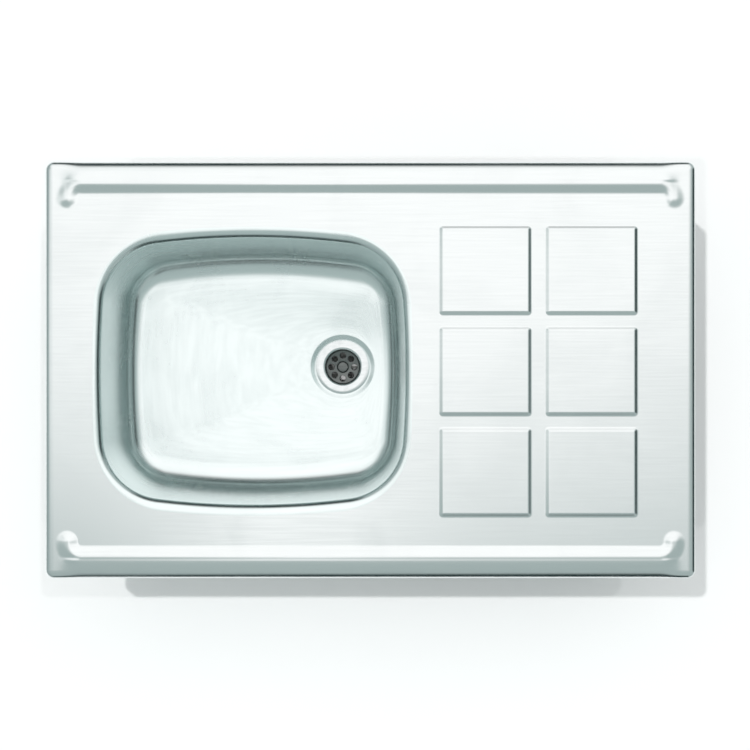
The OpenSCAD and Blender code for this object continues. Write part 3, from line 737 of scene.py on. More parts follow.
# free points in the four corners, outside the beads' turns
def cornerPoints(surface):
    d, s, b, made = deckSizes, beadSizes, borderSizes, []
    turnX = d["halfLength"] - s["tipFromEnd"] - s["turn"]
    turnY = b["crest"] - s["turn"]
    clear = s["turn"] + s["width"] / 2 + d["guard"] + b["freeClear"]
    end = d["halfWidth"] - d["edgeRadius"] - b["freeFromRoll"]
    for i in range(b["freeColumns"]):
        for k in range(b["freeRows"]):
            x, y = turnX + b["freeStep"] * i, b["crest"] - b["freeIn"] + b["freeStep"] * k
            if math.hypot(x - turnX, y - turnY) > clear and y < end:
                made += surface.ring([(x * sx, y * sy) for sx, sy in quadrants], d["top"])
    return made


# (distance out from the flat, height, corner radius) down the rolled edge and back under it as a lip
def edgeSteps():
    d = deckSizes
    radius, top, bend = d["edgeRadius"], d["top"], d["lipBend"]
    steps = [(0, top, 0)]
    for i in range(1, d["rollSteps"] + 1):
        a = math.radians(90 * i / d["rollSteps"])
        out = radius * math.sin(a)
        steps.append((out, top - d["edgeDrop"] * (1 - math.cos(a)), out))
    for i in range(d["bendSteps"] + 1):
        a = math.radians(90 * i / d["bendSteps"])
        out = radius - bend + bend * math.cos(a)
        steps.append((out, bend - bend * math.sin(a), out))
    return steps + [(0, 0, 0), (radius - d["lipWidth"], 0, 0)]


def buildDeck():
    d, s = deckSizes, squareSizes
    surface = SheetSurface()
    radius, top = d["edgeRadius"], d["top"]

    def edgeOutline(grow, plan):
        return splitLongSides(roundedRectangle((0, 0), d["halfLength"] - radius + grow,
                                               d["halfWidth"] - radius + grow, plan, d["cornerSteps"]))

    inner = before = surface.ring(edgeOutline(-d["guard"], 0), top)
    for grow, z, plan in edgeSteps():
        ring = surface.ring(edgeOutline(grow, plan), z)
        surface.loft(ring, before)
        before = ring
    stepX, stepY = s["length"] + s["columnGap"], s["width"] + s["rowGap"]
    middleX = s["right"] - s["length"] / 2 - stepX * (s["columns"] - 1) / 2
    middleY = s["back"] - s["width"] / 2 - stepY * (s["rows"] - 1) / 2
    square = squareOutline(squareSection()[0][0])
    holes = []
    for column in range(s["columns"]):
        for row in range(s["rows"]):
            x = middleX + stepX * (column - (s["columns"] - 1) / 2)
            y = middleY + stepY * (row - (s["rows"] - 1) / 2)
            holes.append(surface.ring([(x + a, y + b) for a, b in square], top))
    holes.append(surface.ring(mouthOutline(mouthSizes["weld"]), top))
    holes += [beadRings(surface, 1), beadRings(surface, -1)]
    surface.fill(inner, holes, extra=cornerPoints(surface))
    surface.points = [(x, y, borderHeight(x / mm, y / mm, z / mm) * mm) for x, y, z in surface.points]
    deck = surfacePiece("deckSheet", surface, sinkSteel)
    shape = squareShape()
    runTree(deck, pressedGrid, {"Shape": shape, "Columns": s["columns"], "Rows": s["rows"],
                                "Column Step": stepX * mm, "Row Step": stepY * mm,
                                "Middle": (middleX * mm, middleY * mm, 0), "Material": sinkSteel})
    bpy.data.objects.remove(shape)
    thicken(deck, d["sheet"])
    placePiece(deck, "deck")
    print("deck pressed:", len(deck.data.polygons), "faces")


buildDeck()


# bowl

bowlSizes = {"depth": 150.6, "floorFall": 4.6, "fallRun": 75, "leastFall": 0.1, "fallBlend": 0.2, "rim": 8,
             "taper": 3, "longRun": 17, "bottom": 20, "floorCorner": 22, "floorBowEnds": 6,
             "floorBowLong": 11, "sheet": 0.8, "rollSteps": 14, "wallSteps": 12, "bottomSteps": 18,
             "floorSteps": 20, "measuredPoint": 10}
wasteSizes = {"middle": (-37, 4.5), "recess": 36.5, "flank": 5.5, "recessDepth": 2.4, "hole": 26,
              "footFillet": 4, "topFillet": 8, "steps": 6, "innerRings": (1.8, 4)}


def wallSection():
    s = bowlSizes
    taper = math.radians(s["taper"])
    edgeDepth = s["depth"] - s["floorFall"]
    rollBottom = s["rim"] * (1 - math.sin(taper))
    wallBottom = edgeDepth - s["bottom"] * (1 - math.sin(taper))
    wallRun = (wallBottom - rollBottom) * math.tan(taper)
    endRun = (s["rim"] + s["bottom"]) * math.cos(taper) + wallRun
    section = []
    for i in range(s["rollSteps"] + 1):
        a = (math.pi / 2 - taper) * i / s["rollSteps"]
        section.append((s["rim"] * math.sin(a), s["rim"] * (1 - math.cos(a))))
    start = section[-1]
    end = (endRun - s["bottom"] * math.cos(taper), wallBottom)
    for i in range(1, s["wallSteps"]):
        t = i / s["wallSteps"]
        section.append((start[0] + (end[0] - start[0]) * t, start[1] + (end[1] - start[1]) * t))
    for i in range(s["bottomSteps"] + 1):
        a = (math.pi / 2 - taper) * (1 - i / s["bottomSteps"])
        section.append((endRun - s["bottom"] * math.sin(a), edgeDepth - s["bottom"] * (1 - math.cos(a))))
    return section, endRun


def floorOutline(endRun):
    m, s = mouthSizes, bowlSizes
    half = (m["half"][0] - endRun, m["half"][1] - endRun - s["longRun"])
    return bowlOutline(half, s["floorCorner"], s["floorBowEnds"], s["floorBowLong"])


def facingWaste(point, radius):
    wx, wy = wasteSizes["middle"]
    a = math.atan2(point[1] - wy, point[0] - wx)
    return (wx + radius * math.cos(a), wy + radius * math.sin(a))


def mixOutlines(a, b, share):
    return [(p[0] + (q[0] - p[0]) * share, p[1] + (q[1] - p[1]) * share) for p, q in zip(a, b)]


# the floor falls less where its edge is near the waste
def floorFalls(floor):
    s, w = bowlSizes, wasteSizes
    near = w["recess"] + w["flank"]
    shares = [(math.dist(point, w["middle"]) - near) / s["fallRun"] for point in floor]
    return [s["floorFall"] * easeShare(max(share, s["leastFall"])) for share in shares]


# height of the floor at a share of the way from its edge to the waste recess: an even fall with soft ends
def floorHeight(share, fall):
    s, blend = bowlSizes, bowlSizes["fallBlend"]
    near = min(share, 1 - share)
    fallen = near * near / (2 * blend) if near < blend else near - blend / 2
    fallen /= 1 - blend
    return deckSizes["top"] - s["depth"] + fall * (1 - fallen if share < 0.5 else fallen)


def buildBowl():
    s, w = bowlSizes, wasteSizes
    section, endRun = wallSection()
    mouth, floor = mouthOutline(0), floorOutline(endRun)
    recess = flankSection(w["recessDepth"], w["flank"], w["footFillet"], w["topFillet"], w["steps"])
    edgeRadius = w["recess"] + w["flank"] - recess[0][0]
    recessEdge = [facingWaste(p, edgeRadius) for p in floor]
    falls, top = floorFalls(floor), deckSizes["top"]
    outlines = [(mouthOutline(mouthSizes["weld"]), top)]
    for run, drop in section:
        lower = drop / section[-1][1]
        heights = [top - drop - (s["floorFall"] - fall) * lower for fall in falls]
        outlines.append((mixOutlines(mouth, floor, run / endRun), heights))
    for i in range(1, s["floorSteps"] + 1):
        share = i / s["floorSteps"]
        outlines.append((mixOutlines(floor, recessEdge, share), [floorHeight(share, fall) for fall in falls]))
    base = top - s["depth"]
    rounds = [(w["recess"] + w["flank"] - distance, base - height) for distance, height in recess[1:]]
    flat = [w["recess"] - inwards for inwards in w["innerRings"]] + [w["hole"]]
    rounds += [(radius, base - w["recessDepth"]) for radius in flat]
    outlines += [([facingWaste(p, radius) for p in floor], z) for radius, z in rounds]
    surface = SheetSurface()
    made = [surface.ring(outline, z) for outline, z in outlines]
    along = [0]
    for a, b in zip(mouth, mouth[1:] + mouth[:1]):
        along.append(along[-1] + math.dist(a, b) * mm)
    down = [0]
    for upper, under in zip(made, made[1:]):
        a, b = (surface.points[ring[s["measuredPoint"]]] for ring in (upper, under))
        down.append(down[-1] + math.dist(a, b))
        surface.loft(upper, under, along, down[-2:])
    bowl = surfacePiece("bowlSheet", surface, bowlSteel)
    thicken(bowl, s["sheet"])
    placePiece(bowl, "bowl")
    print("bowl drawn:", len(bowl.data.polygons), "faces")
    return floor, recessEdge


bowlFloor, bowlRecessEdge = buildBowl()


# waste fitting, each piece made round the axis and then moved to the waste

cupSizes = {"flange": 35, "top": -120.5, "inside": 22.5, "roll": 3.5, "floor": -132.5, "fall": 3.0,
            "fillet": 2.0, "sheet": 1.0, "dimple": 7.1, "dimpleLip": 1.1, "dimpleDepth": 3.2,
            "dimpleFillet": 0.8, "bore": 3.25, "segments": 96, "coreSegments": 48, "holes": 8,
            "holeRadius": 4, "holeCircle": 15, "holeRoll": 0.6, "holeSegments": 28, "collar": 1.15,
            "edge": ((0, -0.3), (-0.1, -0.1), (-0.35, 0)), "flatRings": (4, 0.4)}


def placeWaste(piece, node, height=0):
    shiftMesh(piece.data, wasteSizes["middle"], height)
    placePiece(piece, node)


def drainHole(grow):
    s = cupSizes
    return circlePoints(s["holeRadius"] + grow, s["holeSegments"], (s["holeCircle"], 0))


# rolled edge and short collar of one drain hole
def drainRimShape():
    s = cupSizes
    middle = (s["holeCircle"] + s["holeRadius"] + s["holeRoll"], s["floor"] - s["holeRoll"])
    outlines = [(drainHole(r - s["holeCircle"] - s["holeRadius"]), z)
                for r, z in arcSection(middle, s["holeRoll"], 90, 180, 5)]
    surface = SheetSurface()
    surface.rings(outlines + [(drainHole(0), s["floor"] - s["collar"])])
    return surfacePiece("drainRim", surface)


def turnPoints(points, share):
    c, t = math.cos(math.tau * share), math.sin(math.tau * share)
    return [(x * c - y * t, x * t + y * c) for x, y in points]


def buildCup():
    s = cupSizes
    top, floor, low = s["top"], s["floor"], s["floor"] - s["dimpleDepth"]
    rim, lip, fillet = s["inside"] + s["roll"], s["dimpleLip"], s["dimpleFillet"]
    surface = SheetSurface()
    upper = [(s["flange"] + out, top + up) for out, up in s["edge"]]
    upper += [(rim + out, top) for out in s["flatRings"]]
    upper += arcSection((rim, top - s["roll"]), s["roll"], 90, 180, 12)
    upper += arcSection((s["inside"] - s["fillet"], floor + s["fillet"]), s["fillet"], 0, -90, 8)
    outer = surface.rings([(circlePoints(r, s["segments"]), z) for r, z in upper])[-1]
    inner = arcSection((s["dimple"] + lip, floor - lip), lip, 90, 180, 6)
    inner += arcSection((s["dimple"] - fillet, low + fillet), fillet, 0, -90, 5)
    inner.append((s["bore"], low))
    core = surface.rings([(circlePoints(r, s["coreSegments"]), z) for r, z in inner])[0]
    hole = drainHole(s["holeRoll"])
    holes = [surface.ring(turnPoints(hole, k / s["holes"]), floor) for k in range(s["holes"])]
    surface.fill(outer, [core] + holes)
    cup = surfacePiece("wasteCup", surface, wasteSteel)
    shape = drainRimShape()
    runTree(cup, turnedCopies, {"Shape": shape, "Count": s["holes"], "Middle": (0, 0, 0),
                                "Material": wasteSteel})
    bpy.data.objects.remove(shape)
    for v in cup.data.vertices:
        inward = (s["inside"] - math.hypot(v.co.x, v.co.y) / mm) / (s["inside"] - s["dimple"])
        v.co.z -= s["fall"] * mm * min(max(inward, 0), 1)
    shiftMesh(cup.data, wasteSizes["middle"])
    thicken(cup, s["sheet"])
    placePiece(cup, "waste_flange")


sealSizes = {
    "sealAbove": {"node": "waste_top_seal", "inner": 26, "outer": 34, "low": -123, "high": -121.5,
                  "round": 0.5},
    "sealBelow": {"node": "waste_bottom_seal", "inner": 26, "outer": 37, "low": -126.8, "high": -123.8,
                  "round": 0.9}}


def buildSeals():
    for name, s in sealSizes.items():
        r, profile = s["round"], []
        for x, z, start in ((s["outer"] - r, s["high"] - r, 90), (s["outer"] - r, s["low"] + r, 0),
                            (s["inner"] + r, s["low"] + r, -90), (s["inner"] + r, s["high"] - r, -180)):
            profile += arcSection((x, z), r, start, start - 90, 4)
        placeWaste(turnedPiece(name, profile, sealRubber), s["node"])


bodySizes = {"top": -126.8, "flange": 39, "flangeHeight": 4, "bore": 24, "wall": 2.5, "coneTop": -146.7,
             "outletTop": -160.7, "outletEnd": -182.7, "outlet": 23.9, "outletBore": 20, "pitch": 2.31,
             "ridge": 1.1, "rib": 2.4, "ribs": 3, "hub": 7.57, "hubHeight": 7, "screwBore": 3.25,
             "hexFlats": 10, "hexHeight": 5, "upperEdge": 0.5, "lowerEdge": 0.8, "mouthEdge": 0.4,
             "neckRound": 1.5, "shoulder": (1, 0.2, 0.6), "ribEdge": 0.3, "bury": 0.05, "threadFrom": 1.3,
             "threadShort": 2.6, "segments": 48, "sharp": 30}


# box whose upper and lower edges are taken off
def boxRings(surface, halfX, halfY, middle, low, high, edge, corner=0.2, steps=2):
    outlines = [(halfX - edge, halfY - edge, low), (halfX, halfY, low + edge),
                (halfX, halfY, high - edge), (halfX - edge, halfY - edge, high)]
    made = surface.rings([(roundedRectangle(middle, x, y, corner, steps), z) for x, y, z in outlines])
    for cap in (made[0], made[-1][::-1]):
        surface.face(tuple(cap), [(0, 0)] * len(cap))


def hexagonPoints(flats):
    points = []
    for i in range(bodySizes["segments"]):
        a = math.tau * i / bodySizes["segments"]
        side = (a + math.pi / 6) % (math.pi / 3) - math.pi / 6
        r = flats / 2 / math.cos(side)
        points.append((r * math.cos(a), r * math.sin(a)))
    return points


# adds the meshes of other objects to one and removes them
def joinPieces(piece, others):
    bm = bmesh.new()
    for part in [piece] + others:
        bm.from_mesh(part.data)
    writeMesh(bm, piece.data)
    for part in others:
        bpy.data.objects.remove(part)


# thread of the given length from a height up, its ridge round a core and a little buried in it
def addThread(piece, s, core, length, start, material):
    runTree(piece, threadRidge, {"Core Radius": (core - s["bury"]) * mm, "Pitch": s["pitch"] * mm,
                                 "Length": length * mm, "Ridge": s["ridge"] * mm,
                                 "Start": (0, 0, start * mm), "Material": material})


def buildBody():
    s = bodySizes
    side, flangeLow = s["bore"] + s["wall"], s["top"] - s["flangeHeight"]
    coreRadius, coneTop, end = s["outlet"] - s["ridge"], s["coneTop"], s["outletEnd"]
    upper, lower, mouth, neck = (s[key] for key in ("upperEdge", "lowerEdge", "mouthEdge", "neckRound"))
    above, inward, below = s["shoulder"]
    profile = [(s["bore"], s["top"]), (s["flange"] - upper, s["top"]), (s["flange"], s["top"] - upper),
               (s["flange"], flangeLow + lower), (s["flange"] - lower, flangeLow)]
    profile += arcSection((side + neck, flangeLow - neck), neck, 90, 180, 5)
    profile += [(side, coneTop + above), (side - inward, coneTop - below), (coreRadius, s["outletTop"]),
                (coreRadius, end + lower), (coreRadius - lower, end), (s["outletBore"] + mouth, end),
                (s["outletBore"], end + mouth), (s["outletBore"], s["outletTop"] + upper),
                (s["bore"], coneTop + upper)]
    body = turnedPiece("wasteBody", profile, wastePlastic, angle=s["sharp"])
    top, hexTop = coneTop + s["hubHeight"], coneTop + s["hexHeight"]
    outside, rounded, bore = (circlePoints(r, s["segments"])
                              for r in (s["hub"], s["hub"] - mouth, s["screwBore"]))
    hexagon = hexagonPoints(s["hexFlats"])
    core = SheetSurface()
    core.rings([(outside, coneTop), (outside, top - mouth), (rounded, top), (bore, top), (bore, hexTop),
                (hexagon, hexTop), (hexagon, coneTop)], closed=True)
    inside = [solidPiece("hub", core, wastePlastic, s["sharp"])]
    first, last = s["hub"] - upper, s["bore"] + s["wall"] / 2
    for k in range(s["ribs"]):
        surface = SheetSurface()
        boxRings(surface, (last - first) / 2, s["rib"] / 2, ((first + last) / 2, 0), coneTop, top,
                 s["ribEdge"])
        inside.append(solidPiece("rib", surface, wastePlastic))
        inside[-1].data.transform(Matrix.Rotation(math.tau * k / s["ribs"], 4, "Z"))
    joinPieces(body, inside)
    addThread(body, s, coreRadius, s["outletTop"] - end - s["threadShort"], end + s["threadFrom"],
              wastePlastic)
    placeWaste(body, "waste_body")


insertSizes = {"play": 0.04, "chamfer": 0.7, "chamferHeight": 0.35, "bore": 3.02, "mouth": 3.4,
               "mouthDepth": 0.4, "sharp": 25}


def buildInsert():
    s, t = bodySizes, insertSizes
    low, high = s["coneTop"], s["coneTop"] + s["hexHeight"]
    flats = s["hexFlats"] - t["play"]
    whole, cut = hexagonPoints(flats), hexagonPoints(flats - t["chamfer"])
    mouth, bore = (circlePoints(t[key], s["segments"]) for key in ("mouth", "bore"))
    surface = SheetSurface()
    surface.rings([(cut, low), (whole, low + t["chamferHeight"]), (whole, high - t["chamferHeight"]),
                   (cut, high), (mouth, high), (bore, high - t["mouthDepth"]),
                   (bore, low + t["mouthDepth"]), (mouth, low)], closed=True)
    placeWaste(solidPiece("hexInsert", surface, brassCast, t["sharp"]), "waste_insert")


def cutShape(piece, cutter):
    saw = piece.modifiers.new("saw", "BOOLEAN")
    saw.object, saw.operation, saw.solver = cutter, "DIFFERENCE", "EXACT"
    applied(piece)
    bpy.data.objects.remove(cutter)


def boxObject(name, halfX, halfY, low, high, edge=0.02):
    surface = SheetSurface()
    boxRings(surface, halfX, halfY, (0, 0), low, high, edge)
    return solidPiece(name, surface)


screwSizes = {"seat": -138.7, "head": 6.5, "headHeight": 2.6, "slot": 1.6, "slotDepth": 1.3, "thread": 2.95,
              "length": 14, "crown": ((-0.9, 0), (-0.3, -0.2), (0, -0.6)), "under": 0.15, "neck": 0.4,
              "tip": 0.8, "pitch": 1.0, "ridge": 0.45, "bury": 0.03, "threadFrom": 1.0, "threadShort": 2.4,
              "segments": 64, "sharp": 25}


def buildCupScrew():
    s = screwSizes
    core, head, high, length = s["thread"] - s["ridge"], s["head"], s["headHeight"], s["length"]
    under, neck, tip = s["under"], s["neck"], s["tip"]
    profile = [(0, high)] + [(head + out, high + up) for out, up in s["crown"]]
    profile += [(head, under), (head - under, 0), (core + neck, 0), (core, -neck), (core, tip - length),
                (core - tip, -length), (0, -length)]
    screw = turnedPiece("cupScrew", profile, wasteSteel, s["segments"], s["sharp"])
    cutShape(screw, boxObject("slotCutter", head + 1, s["slot"] / 2, high - s["slotDepth"], high + 1))
    smoothFaces(screw.data, s["sharp"])
    addThread(screw, s, core, length - s["threadShort"], s["threadFrom"] - length, wasteSteel)
    placeWaste(screw, "waste_screw", s["seat"])


buildCup()
buildSeals()
buildBody()
buildInsert()
buildCupScrew()
print("waste fitting assembled")


# pieces folded from flat strips

# strip from along = 0, its corners rounded by startRadius there and endRadius at the other end
def stripOutline(length, width, startRadius, endRadius, steps=6):
    points = []
    for turn, (sx, sy) in enumerate(quadrants):
        radius = endRadius if sx > 0 else startRadius
        corner = (length / 2 + sx * (length / 2 - radius), sy * (width / 2 - radius))
        points += arcSection(corner, radius, 90 * turn, 90 * turn + 90, steps)
    return points


# a strip cut flat as (along, across), with holes, then folded so that its upper face follows
# the path of (x, z)
def foldedMesh(name, path, width, holes=(), corners=(2.0, 2.0)):
    lengths = [0]
    for a, b in zip(path, path[1:]):
        lengths.append(lengths[-1] + math.dist(a, b))
    surface = SheetSurface()
    outline = stripOutline(lengths[-1], width, *corners)
    folds, none = lengths[1:-1], meshLimits["none"]
    edge = []
    for (x0, y0), (x1, y1) in zip(outline, outline[1:] + outline[:1]):
        edge.append((x0, y0))
        if abs(y0 - y1) < none < abs(x0 - x1):
            between = [x for x in folds if min(x0, x1) + none < x < max(x0, x1) - none]
            edge += [(x, y0) for x in sorted(between, reverse=x1 < x0)]
    outer = surface.ring(edge, 0)
    inner = [surface.ring(hole, 0) for hole in holes]
    known = {(round(x, 5), round(y, 5)): i for (x, y), i in zip(edge, outer)}
    ends = [[known.get((round(x, 5), round(y, 5))) for y in (-width / 2, width / 2)] for x in folds]
    surface.fill(outer, inner, [pair for pair in ends if None not in pair])
    folded = []
    for x, y, _ in surface.points:
        along = x / mm
        k = max(i for i in range(len(lengths) - 1) if lengths[i] <= along + none)
        t = (along - lengths[k]) / (lengths[k + 1] - lengths[k])
        px = path[k][0] + (path[k + 1][0] - path[k][0]) * t
        pz = path[k][1] + (path[k + 1][1] - path[k][1]) * t
        folded.append((px * mm, y, pz * mm))
    surface.points = folded
    return surfaceMesh(name, surface)


hatSizes = {"pieces": {"hatMiddle": ("mid_stiffener", 66), "hatEnd": ("end_stiffener", 346.5)},
            "middleY": -1.5, "length": 340, "width": 29, "flange": 8, "depth": 12, "sheet": 1.0,
            "high": 29.2, "fillets": (1.0, 2.2, 2.2, 1.0), "bevel": 0.12, "sharp": 30}


def buildHats():
    s = hatSizes
    half, crown = s["width"] / 2, s["width"] / 2 - s["flange"]
    flange, low = s["high"] - s["sheet"], s["high"] - s["depth"]
    path = filletedPath([(-half, flange), (-crown, flange), (-crown, low), (crown, low), (crown, flange),
                         (half, flange)], s["fillets"])
    for name, (node, x) in s["pieces"].items():
        mesh = foldedMesh(name, path, s["length"])
        turnOver(mesh)
        shiftMesh(mesh, (x, s["middleY"]))
        hat = linkMesh(name, mesh, zincPlate)
        thicken(hat, s["sheet"], s["bevel"], s["sharp"])
        placePiece(hat, node)


tagSizes = {"x": -141.5, "front": 184.5, "width": 12, "foot": 13, "high": 29.2, "holeZ": -9, "hole": 2.65,
            "sheet": 1.0, "bend": 1.0, "footCorner": 1.5, "bevel": 0.12}


def buildTag():
    s = tagSizes
    middle = s["width"] / 2
    path = filletedPath([(0, s["holeZ"] - middle), (0, s["high"]), (s["foot"], s["high"])],
                        (s["bend"] + s["sheet"],))
    hole = circlePoints(s["hole"], 32, (middle, 0))
    mesh = foldedMesh("earthTag", path, s["width"], [hole], (middle, s["footCorner"]))
    for v in mesh.vertices:
        v.co = Vector((-v.co.y, v.co.x, v.co.z))
    shiftMesh(mesh, (s["x"], s["front"]))
    tag = linkMesh("earthTag", mesh, tagSteel)
    thicken(tag, s["sheet"], s["bevel"])
    placePiece(tag, "earth_tag")


bracketSizes = {"face": 372.5, "drop": 44, "top": 2.6, "reach": 12.5, "width": 44, "sheet": 1.5, "bend": 2.5,
                "slotZ": -22, "slotLength": 24, "slotWidth": 4.6, "slotAngle": 30, "fromMiddle": 150,
                "corners": (4.0, 3.0), "bevel": 0.2, "sharp": 30}
# ends of the names and nodes of the pieces in the four corners, and the corners' signs
sinkCorners = [(a + b, f"_{a}_{b}".lower(), sx, sy) for a, sx in (("Left", -1), ("Right", 1))
               for b, sy in (("Front", -1), ("Back", 1))]


# outline of a slanted slot with round ends, as (along, across)
def slotPoints(middle, length, width, angle):
    a = math.radians(angle)
    half = (length - width) / 2
    points = arcPoints((0, half), width / 2, 0, 180, 12) + [(-width / 2, half)]
    points += arcPoints((0, -half), width / 2, 180, 360, 12) + [(width / 2, -half)]
    return [(middle[0] + x * math.cos(a) + y * math.sin(a), middle[1] - x * math.sin(a) + y * math.cos(a))
            for x, y in points]


def buildBrackets():
    s = bracketSizes
    path = filletedPath([(0, -s["drop"]), (0, s["top"]), (s["reach"], s["top"])], (s["bend"],))
    for name, node, sx, sy in sinkCorners:
        slot = slotPoints((s["drop"] + s["slotZ"], 0), s["slotLength"], s["slotWidth"], s["slotAngle"] * sy)
        mesh = foldedMesh("bracket" + name, path, s["width"], [slot], s["corners"])
        shiftMesh(mesh, (s["face"], sy * s["fromMiddle"]))
        if sx < 0:
            turnOver(mesh, mirrored=True)
        bracket = linkMesh("bracket" + name, mesh, zincPlate)
        thicken(bracket, s["sheet"], s["bevel"], s["sharp"])
        placePiece(bracket, "bracket" + node, "bracket" + node)


fixingSizes = {"seat": 372.2, "z": -22, "head": 4, "headHeight": 2.6, "headRound": 1.9, "headTop": 1.6,
               "dish": 0.05, "rimEdge": 0.2, "neck": 1.6, "neckLength": 2.1, "neckEdge": 0.3, "thread": 2,
               "length": 16, "point": 4, "tip": (0.3, 0.2), "pitch": 1.7, "ridge": 0.55, "bury": 0.03,
               "threadFrom": 0.9, "threadShort": 1.6, "crossWidth": 1.0, "crossDepth": 1.3, "cross": 2,
               "segments": 40, "sharp": 25}


def buildFixings():
    s = fixingSizes
    core, head, high, curve = s["thread"] - s["ridge"], s["head"], s["headHeight"], s["headRound"]
    neck, neckEnd, length = s["neck"], s["neckLength"], s["length"]
    profile = [(0, -high), (s["headTop"], -high + s["dish"])]
    profile += arcSection((head - curve, -high + s["dish"] + curve), curve, -90, 0, 6)
    profile += [(head, -s["rimEdge"]), (head - s["rimEdge"], 0), (neck, 0), (neck, neckEnd),
                (core, neckEnd + s["neckEdge"]), (core, length - s["point"]),
                (s["tip"][0], length - s["tip"][1]), (0, length)]
    for name, node, sx, sy in sinkCorners:
        screw = turnedPiece("fixing" + name, profile, zincPlate, s["segments"], s["sharp"])
        for halfX, halfY in ((s["cross"], s["crossWidth"] / 2), (s["crossWidth"] / 2, s["cross"])):
            cutShape(screw, boxObject("crossCutter", halfX, halfY, -high - 1, s["crossDepth"] - high))
        smoothFaces(screw.data, s["sharp"])
        addThread(screw, s, core, length - s["point"] - neckEnd - s["threadShort"],
                  neckEnd + s["threadFrom"], zincPlate)
        screw.data.transform(Matrix.Rotation(math.radians(90), 4, "Y"))
        shiftMesh(screw.data, (s["seat"], sy * bracketSizes["fromMiddle"]), s["z"])
        if sx < 0:
            turnOver(screw.data, mirrored=True)
        placePiece(screw, "fixing" + node, "fixing" + node)


padSizes = {"thickness": 2.5, "sheet": 0.8, "margin": 12, "wasteMargin": 12, "round": 0.8, "steps": 16,
            "gap": 0.02, "drainer": ((88.5, 314), (-170, 167)), "drainerHigh": 29.2, "corner": 6, "sharp": 50}


def placePad(name, surface, node):
    placePiece(solidPiece(name, surface, bitumenSheet, padSizes["sharp"]), node)


def buildPads():
    s = padSizes
    halfY = (max(p[1] for p in bowlFloor) - min(p[1] for p in bowlFloor)) / 2
    near, far = s["margin"] / halfY, 1 - s["wasteMargin"] / halfY
    steps = [near + (far - near) * i / s["steps"] for i in range(s["steps"] + 1)]
    thick, r, little = s["thickness"], s["round"], s["round"] / 100
    falls = floorFalls(bowlFloor)

    def outline(share, drop):
        heights = [floorHeight(share, fall) - s["sheet"] - drop for fall in falls]
        return mixOutlines(bowlFloor, bowlRecessEdge, share), heights

    loops = [outline(share, s["gap"]) for share in steps]
    loops += [outline(far, thick - r), outline(far - little, thick)]
    loops += [outline(share, thick) for share in reversed(steps[1:-1])]
    loops += [outline(near + little, thick), outline(near, thick - r)]
    surface = SheetSurface()
    surface.rings(loops, closed=True)
    placePad("bowlPad", surface, "bowl_pad")
    (x0, x1), (y0, y1) = s["drainer"]
    high, low = s["drainerHigh"], s["drainerHigh"] - thick
    middle, halfX, halfY = ((x0 + x1) / 2, (y0 + y1) / 2), (x1 - x0) / 2, (y1 - y0) / 2
    surface = SheetSurface()
    made = surface.rings([(roundedRectangle(middle, halfX - i, halfY - i, s["corner"] - i, 6), z) for i, z in
                          ((0, high - s["gap"]), (0, low + r), (r * 0.3, low + r * 0.3), (r, low))])
    surface.fill(made[-1])
    surface.fill(made[0])
    placePad("drainerPad", surface, "drainer_pad")


buildHats()
buildTag()
buildBrackets()
buildFixings()
buildPads()
print("stiffeners, tag, brackets, screws and pads placed")


# floor, light and camera, in metres

stageLook = {"floorZ": -0.1827, "half": 40.0, "floorColour": (0.91, 0.91, 0.91), "shade": 0.985,
             "cloudScale": 3.0, "rough": 0.9, "specular": 0.1}


def buildStage():
    s = stageLook
    mesh = bpy.data.meshes.new("paleFloor")
    mesh.from_pydata([(s["half"] * x, s["half"] * y, s["floorZ"]) for x, y in quadrants], [],
                     [(2, 3, 0, 1)])
    material, b, shader, where = newMaterial("paleFloor")
    light = s["floorColour"]
    dark = tuple(c * s["shade"] for c in light)
    b.put(shader.inputs["Base Color"], b.tint(b.noise(where, s["cloudScale"]), light, dark))
    b.put(shader.inputs["Roughness"], s["rough"])
    b.put(shader.inputs["Specular IOR Level"], s["specular"])
    linkMesh("paleFloor", mesh, material)


buildStage()

skyLook = {"ground": (0.97, 0.98, 0.98), "surround": (0.42, 0.48, 0.475), "horizon": (0.97, 0.98, 0.98),
           "horizonEnd": 0.02, "surroundStart": 0.06}
# three dark flags and the soft boxes over the sink: middle and half size as sines of the angle from
# straight up, softness of the edge, radiance; a later one covers an earlier one
flagLook = {"edge": 0.12, "light": (0.02, 0.036, 0.036)}
softBoxes = [
    {"middle": (0.0, -1.0), "half": (0.42, 0.3), **flagLook},
    {"middle": (0.0, 1.0), "half": (0.42, 0.3), **flagLook},
    {"middle": (1.0, 0.0), "half": (0.3, 0.34), **flagLook},
    {"middle": (-0.33, -0.07), "half": (0.82, 0.82), "edge": 0.12, "light": (0.34, 0.4, 0.4)},
    {"middle": (0.0, -0.05), "half": (0.78, 0.76), "edge": 0.07, "light": (0.43, 0.5, 0.495)},
    {"middle": (-0.42, 0.06), "half": (0.32, 0.16), "edge": 0.35, "light": (0.98, 1.0, 1.0)},
    {"middle": (0.0, 0.45), "half": (0.58, 0.34), "edge": 0.2, "light": (1.0, 1.02, 1.02)},
    {"middle": (0.07, 0.33), "half": (0.48, 0.45), "edge": 0.36, "light": (1.22, 1.2, 1.2)},
    {"middle": (-0.065, -0.08), "half": (0.085, 0.12), "edge": 0.4, "light": (1.28, 1.26, 1.26)},
]


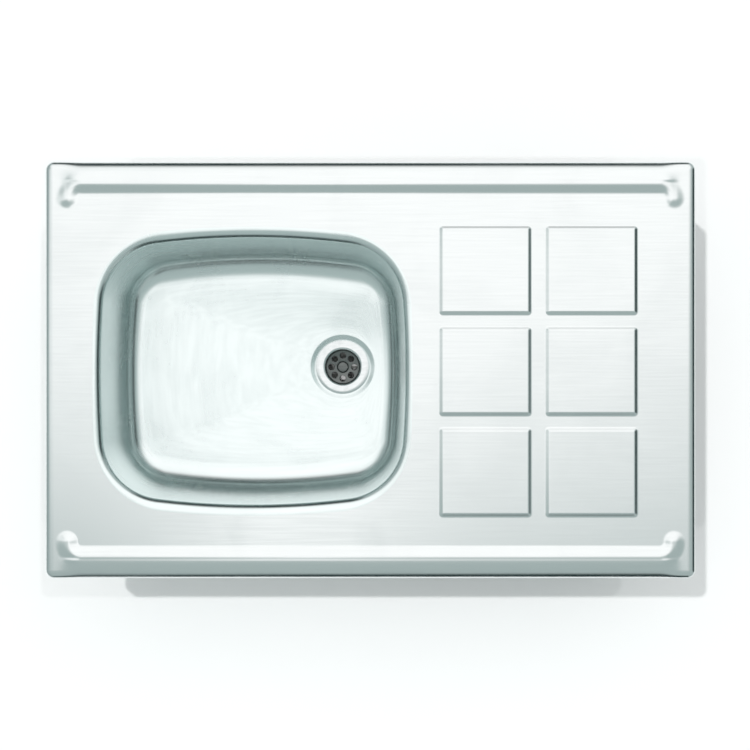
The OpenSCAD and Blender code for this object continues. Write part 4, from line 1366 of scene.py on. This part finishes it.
def buildSky():
    s, world = skyLook, bpy.data.worlds.new("softStudio")
    bpy.context.scene.world = world
    world.use_nodes = True
    b = NodeBuilder(world.node_tree)
    b.tree.nodes.clear()
    where = b.node("ShaderNodeTexCoord").outputs["Generated"]
    parts = b.node("ShaderNodeSeparateXYZ", {"Vector": where}).outputs
    colour = b.tint(b.between(parts["Z"], s["horizonEnd"], s["surroundStart"]), s["horizon"], s["surround"])
    above, below = (b.math(side, parts["Z"], 0.0) for side in ("GREATER_THAN", "LESS_THAN"))
    for box in softBoxes:
        offs = [b.math("DIVIDE", b.math("SUBTRACT", parts[axis], middle), half)
                for axis, middle, half in zip("XY", box["middle"], box["half"])]
        far = b.math("SQRT", b.math("ADD", *(b.math("MULTIPLY", off, off) for off in offs)))
        mask = b.between(far, 1 - box["edge"], 1 + box["edge"], 1.0, 0.0)
        colour = b.tint(b.math("MULTIPLY", mask, above), colour, box["light"])
    colour = b.tint(below, colour, s["ground"])
    background = b.node("ShaderNodeBackground", {"Color": colour, "Strength": 1.0})
    b.node("ShaderNodeOutputWorld", {"Surface": background.outputs[0]})


buildSky()

# four lamps behind the soft boxes: direction towards the lamp and strength
sunLook = {"angle": 1.4, "lamps": [((-0.31, 0.275, 1.0), 1.2), ((0.275, 0.275, 1.0), 0.25),
                                   ((-0.31, -0.188, 1.0), 0.25), ((0.275, -0.188, 1.0), 0.12)]}


def buildSuns():
    for towards, strength in sunLook["lamps"]:
        data = bpy.data.lights.new("keySun", "SUN")
        data.energy, data.angle = strength, math.radians(sunLook["angle"])
        lamp = bpy.data.objects.new("keySun", data)
        bpy.context.scene.collection.objects.link(lamp)
        lamp.rotation_mode = "QUATERNION"
        lamp.rotation_quaternion = Vector(towards).to_track_quat("Z", "Y")
        lamp.visible_glossy = False


buildSuns()

cameraLook = {"place": (0.0054, -0.006, 1.645), "lens": 64.7, "sensor": 36, "near": 0.05, "far": 200}


def buildCamera():
    data = bpy.data.cameras.new("photoView")
    data.lens, data.sensor_width = cameraLook["lens"], cameraLook["sensor"]
    data.clip_start, data.clip_end = cameraLook["near"], cameraLook["far"]
    camera = bpy.data.objects.new("photoView", data)
    camera.location = cameraLook["place"]
    bpy.context.scene.collection.objects.link(camera)
    bpy.context.scene.camera = camera
    bpy.context.scene.view_settings.view_transform = "Standard"


buildCamera()
print("stage, light and camera set")
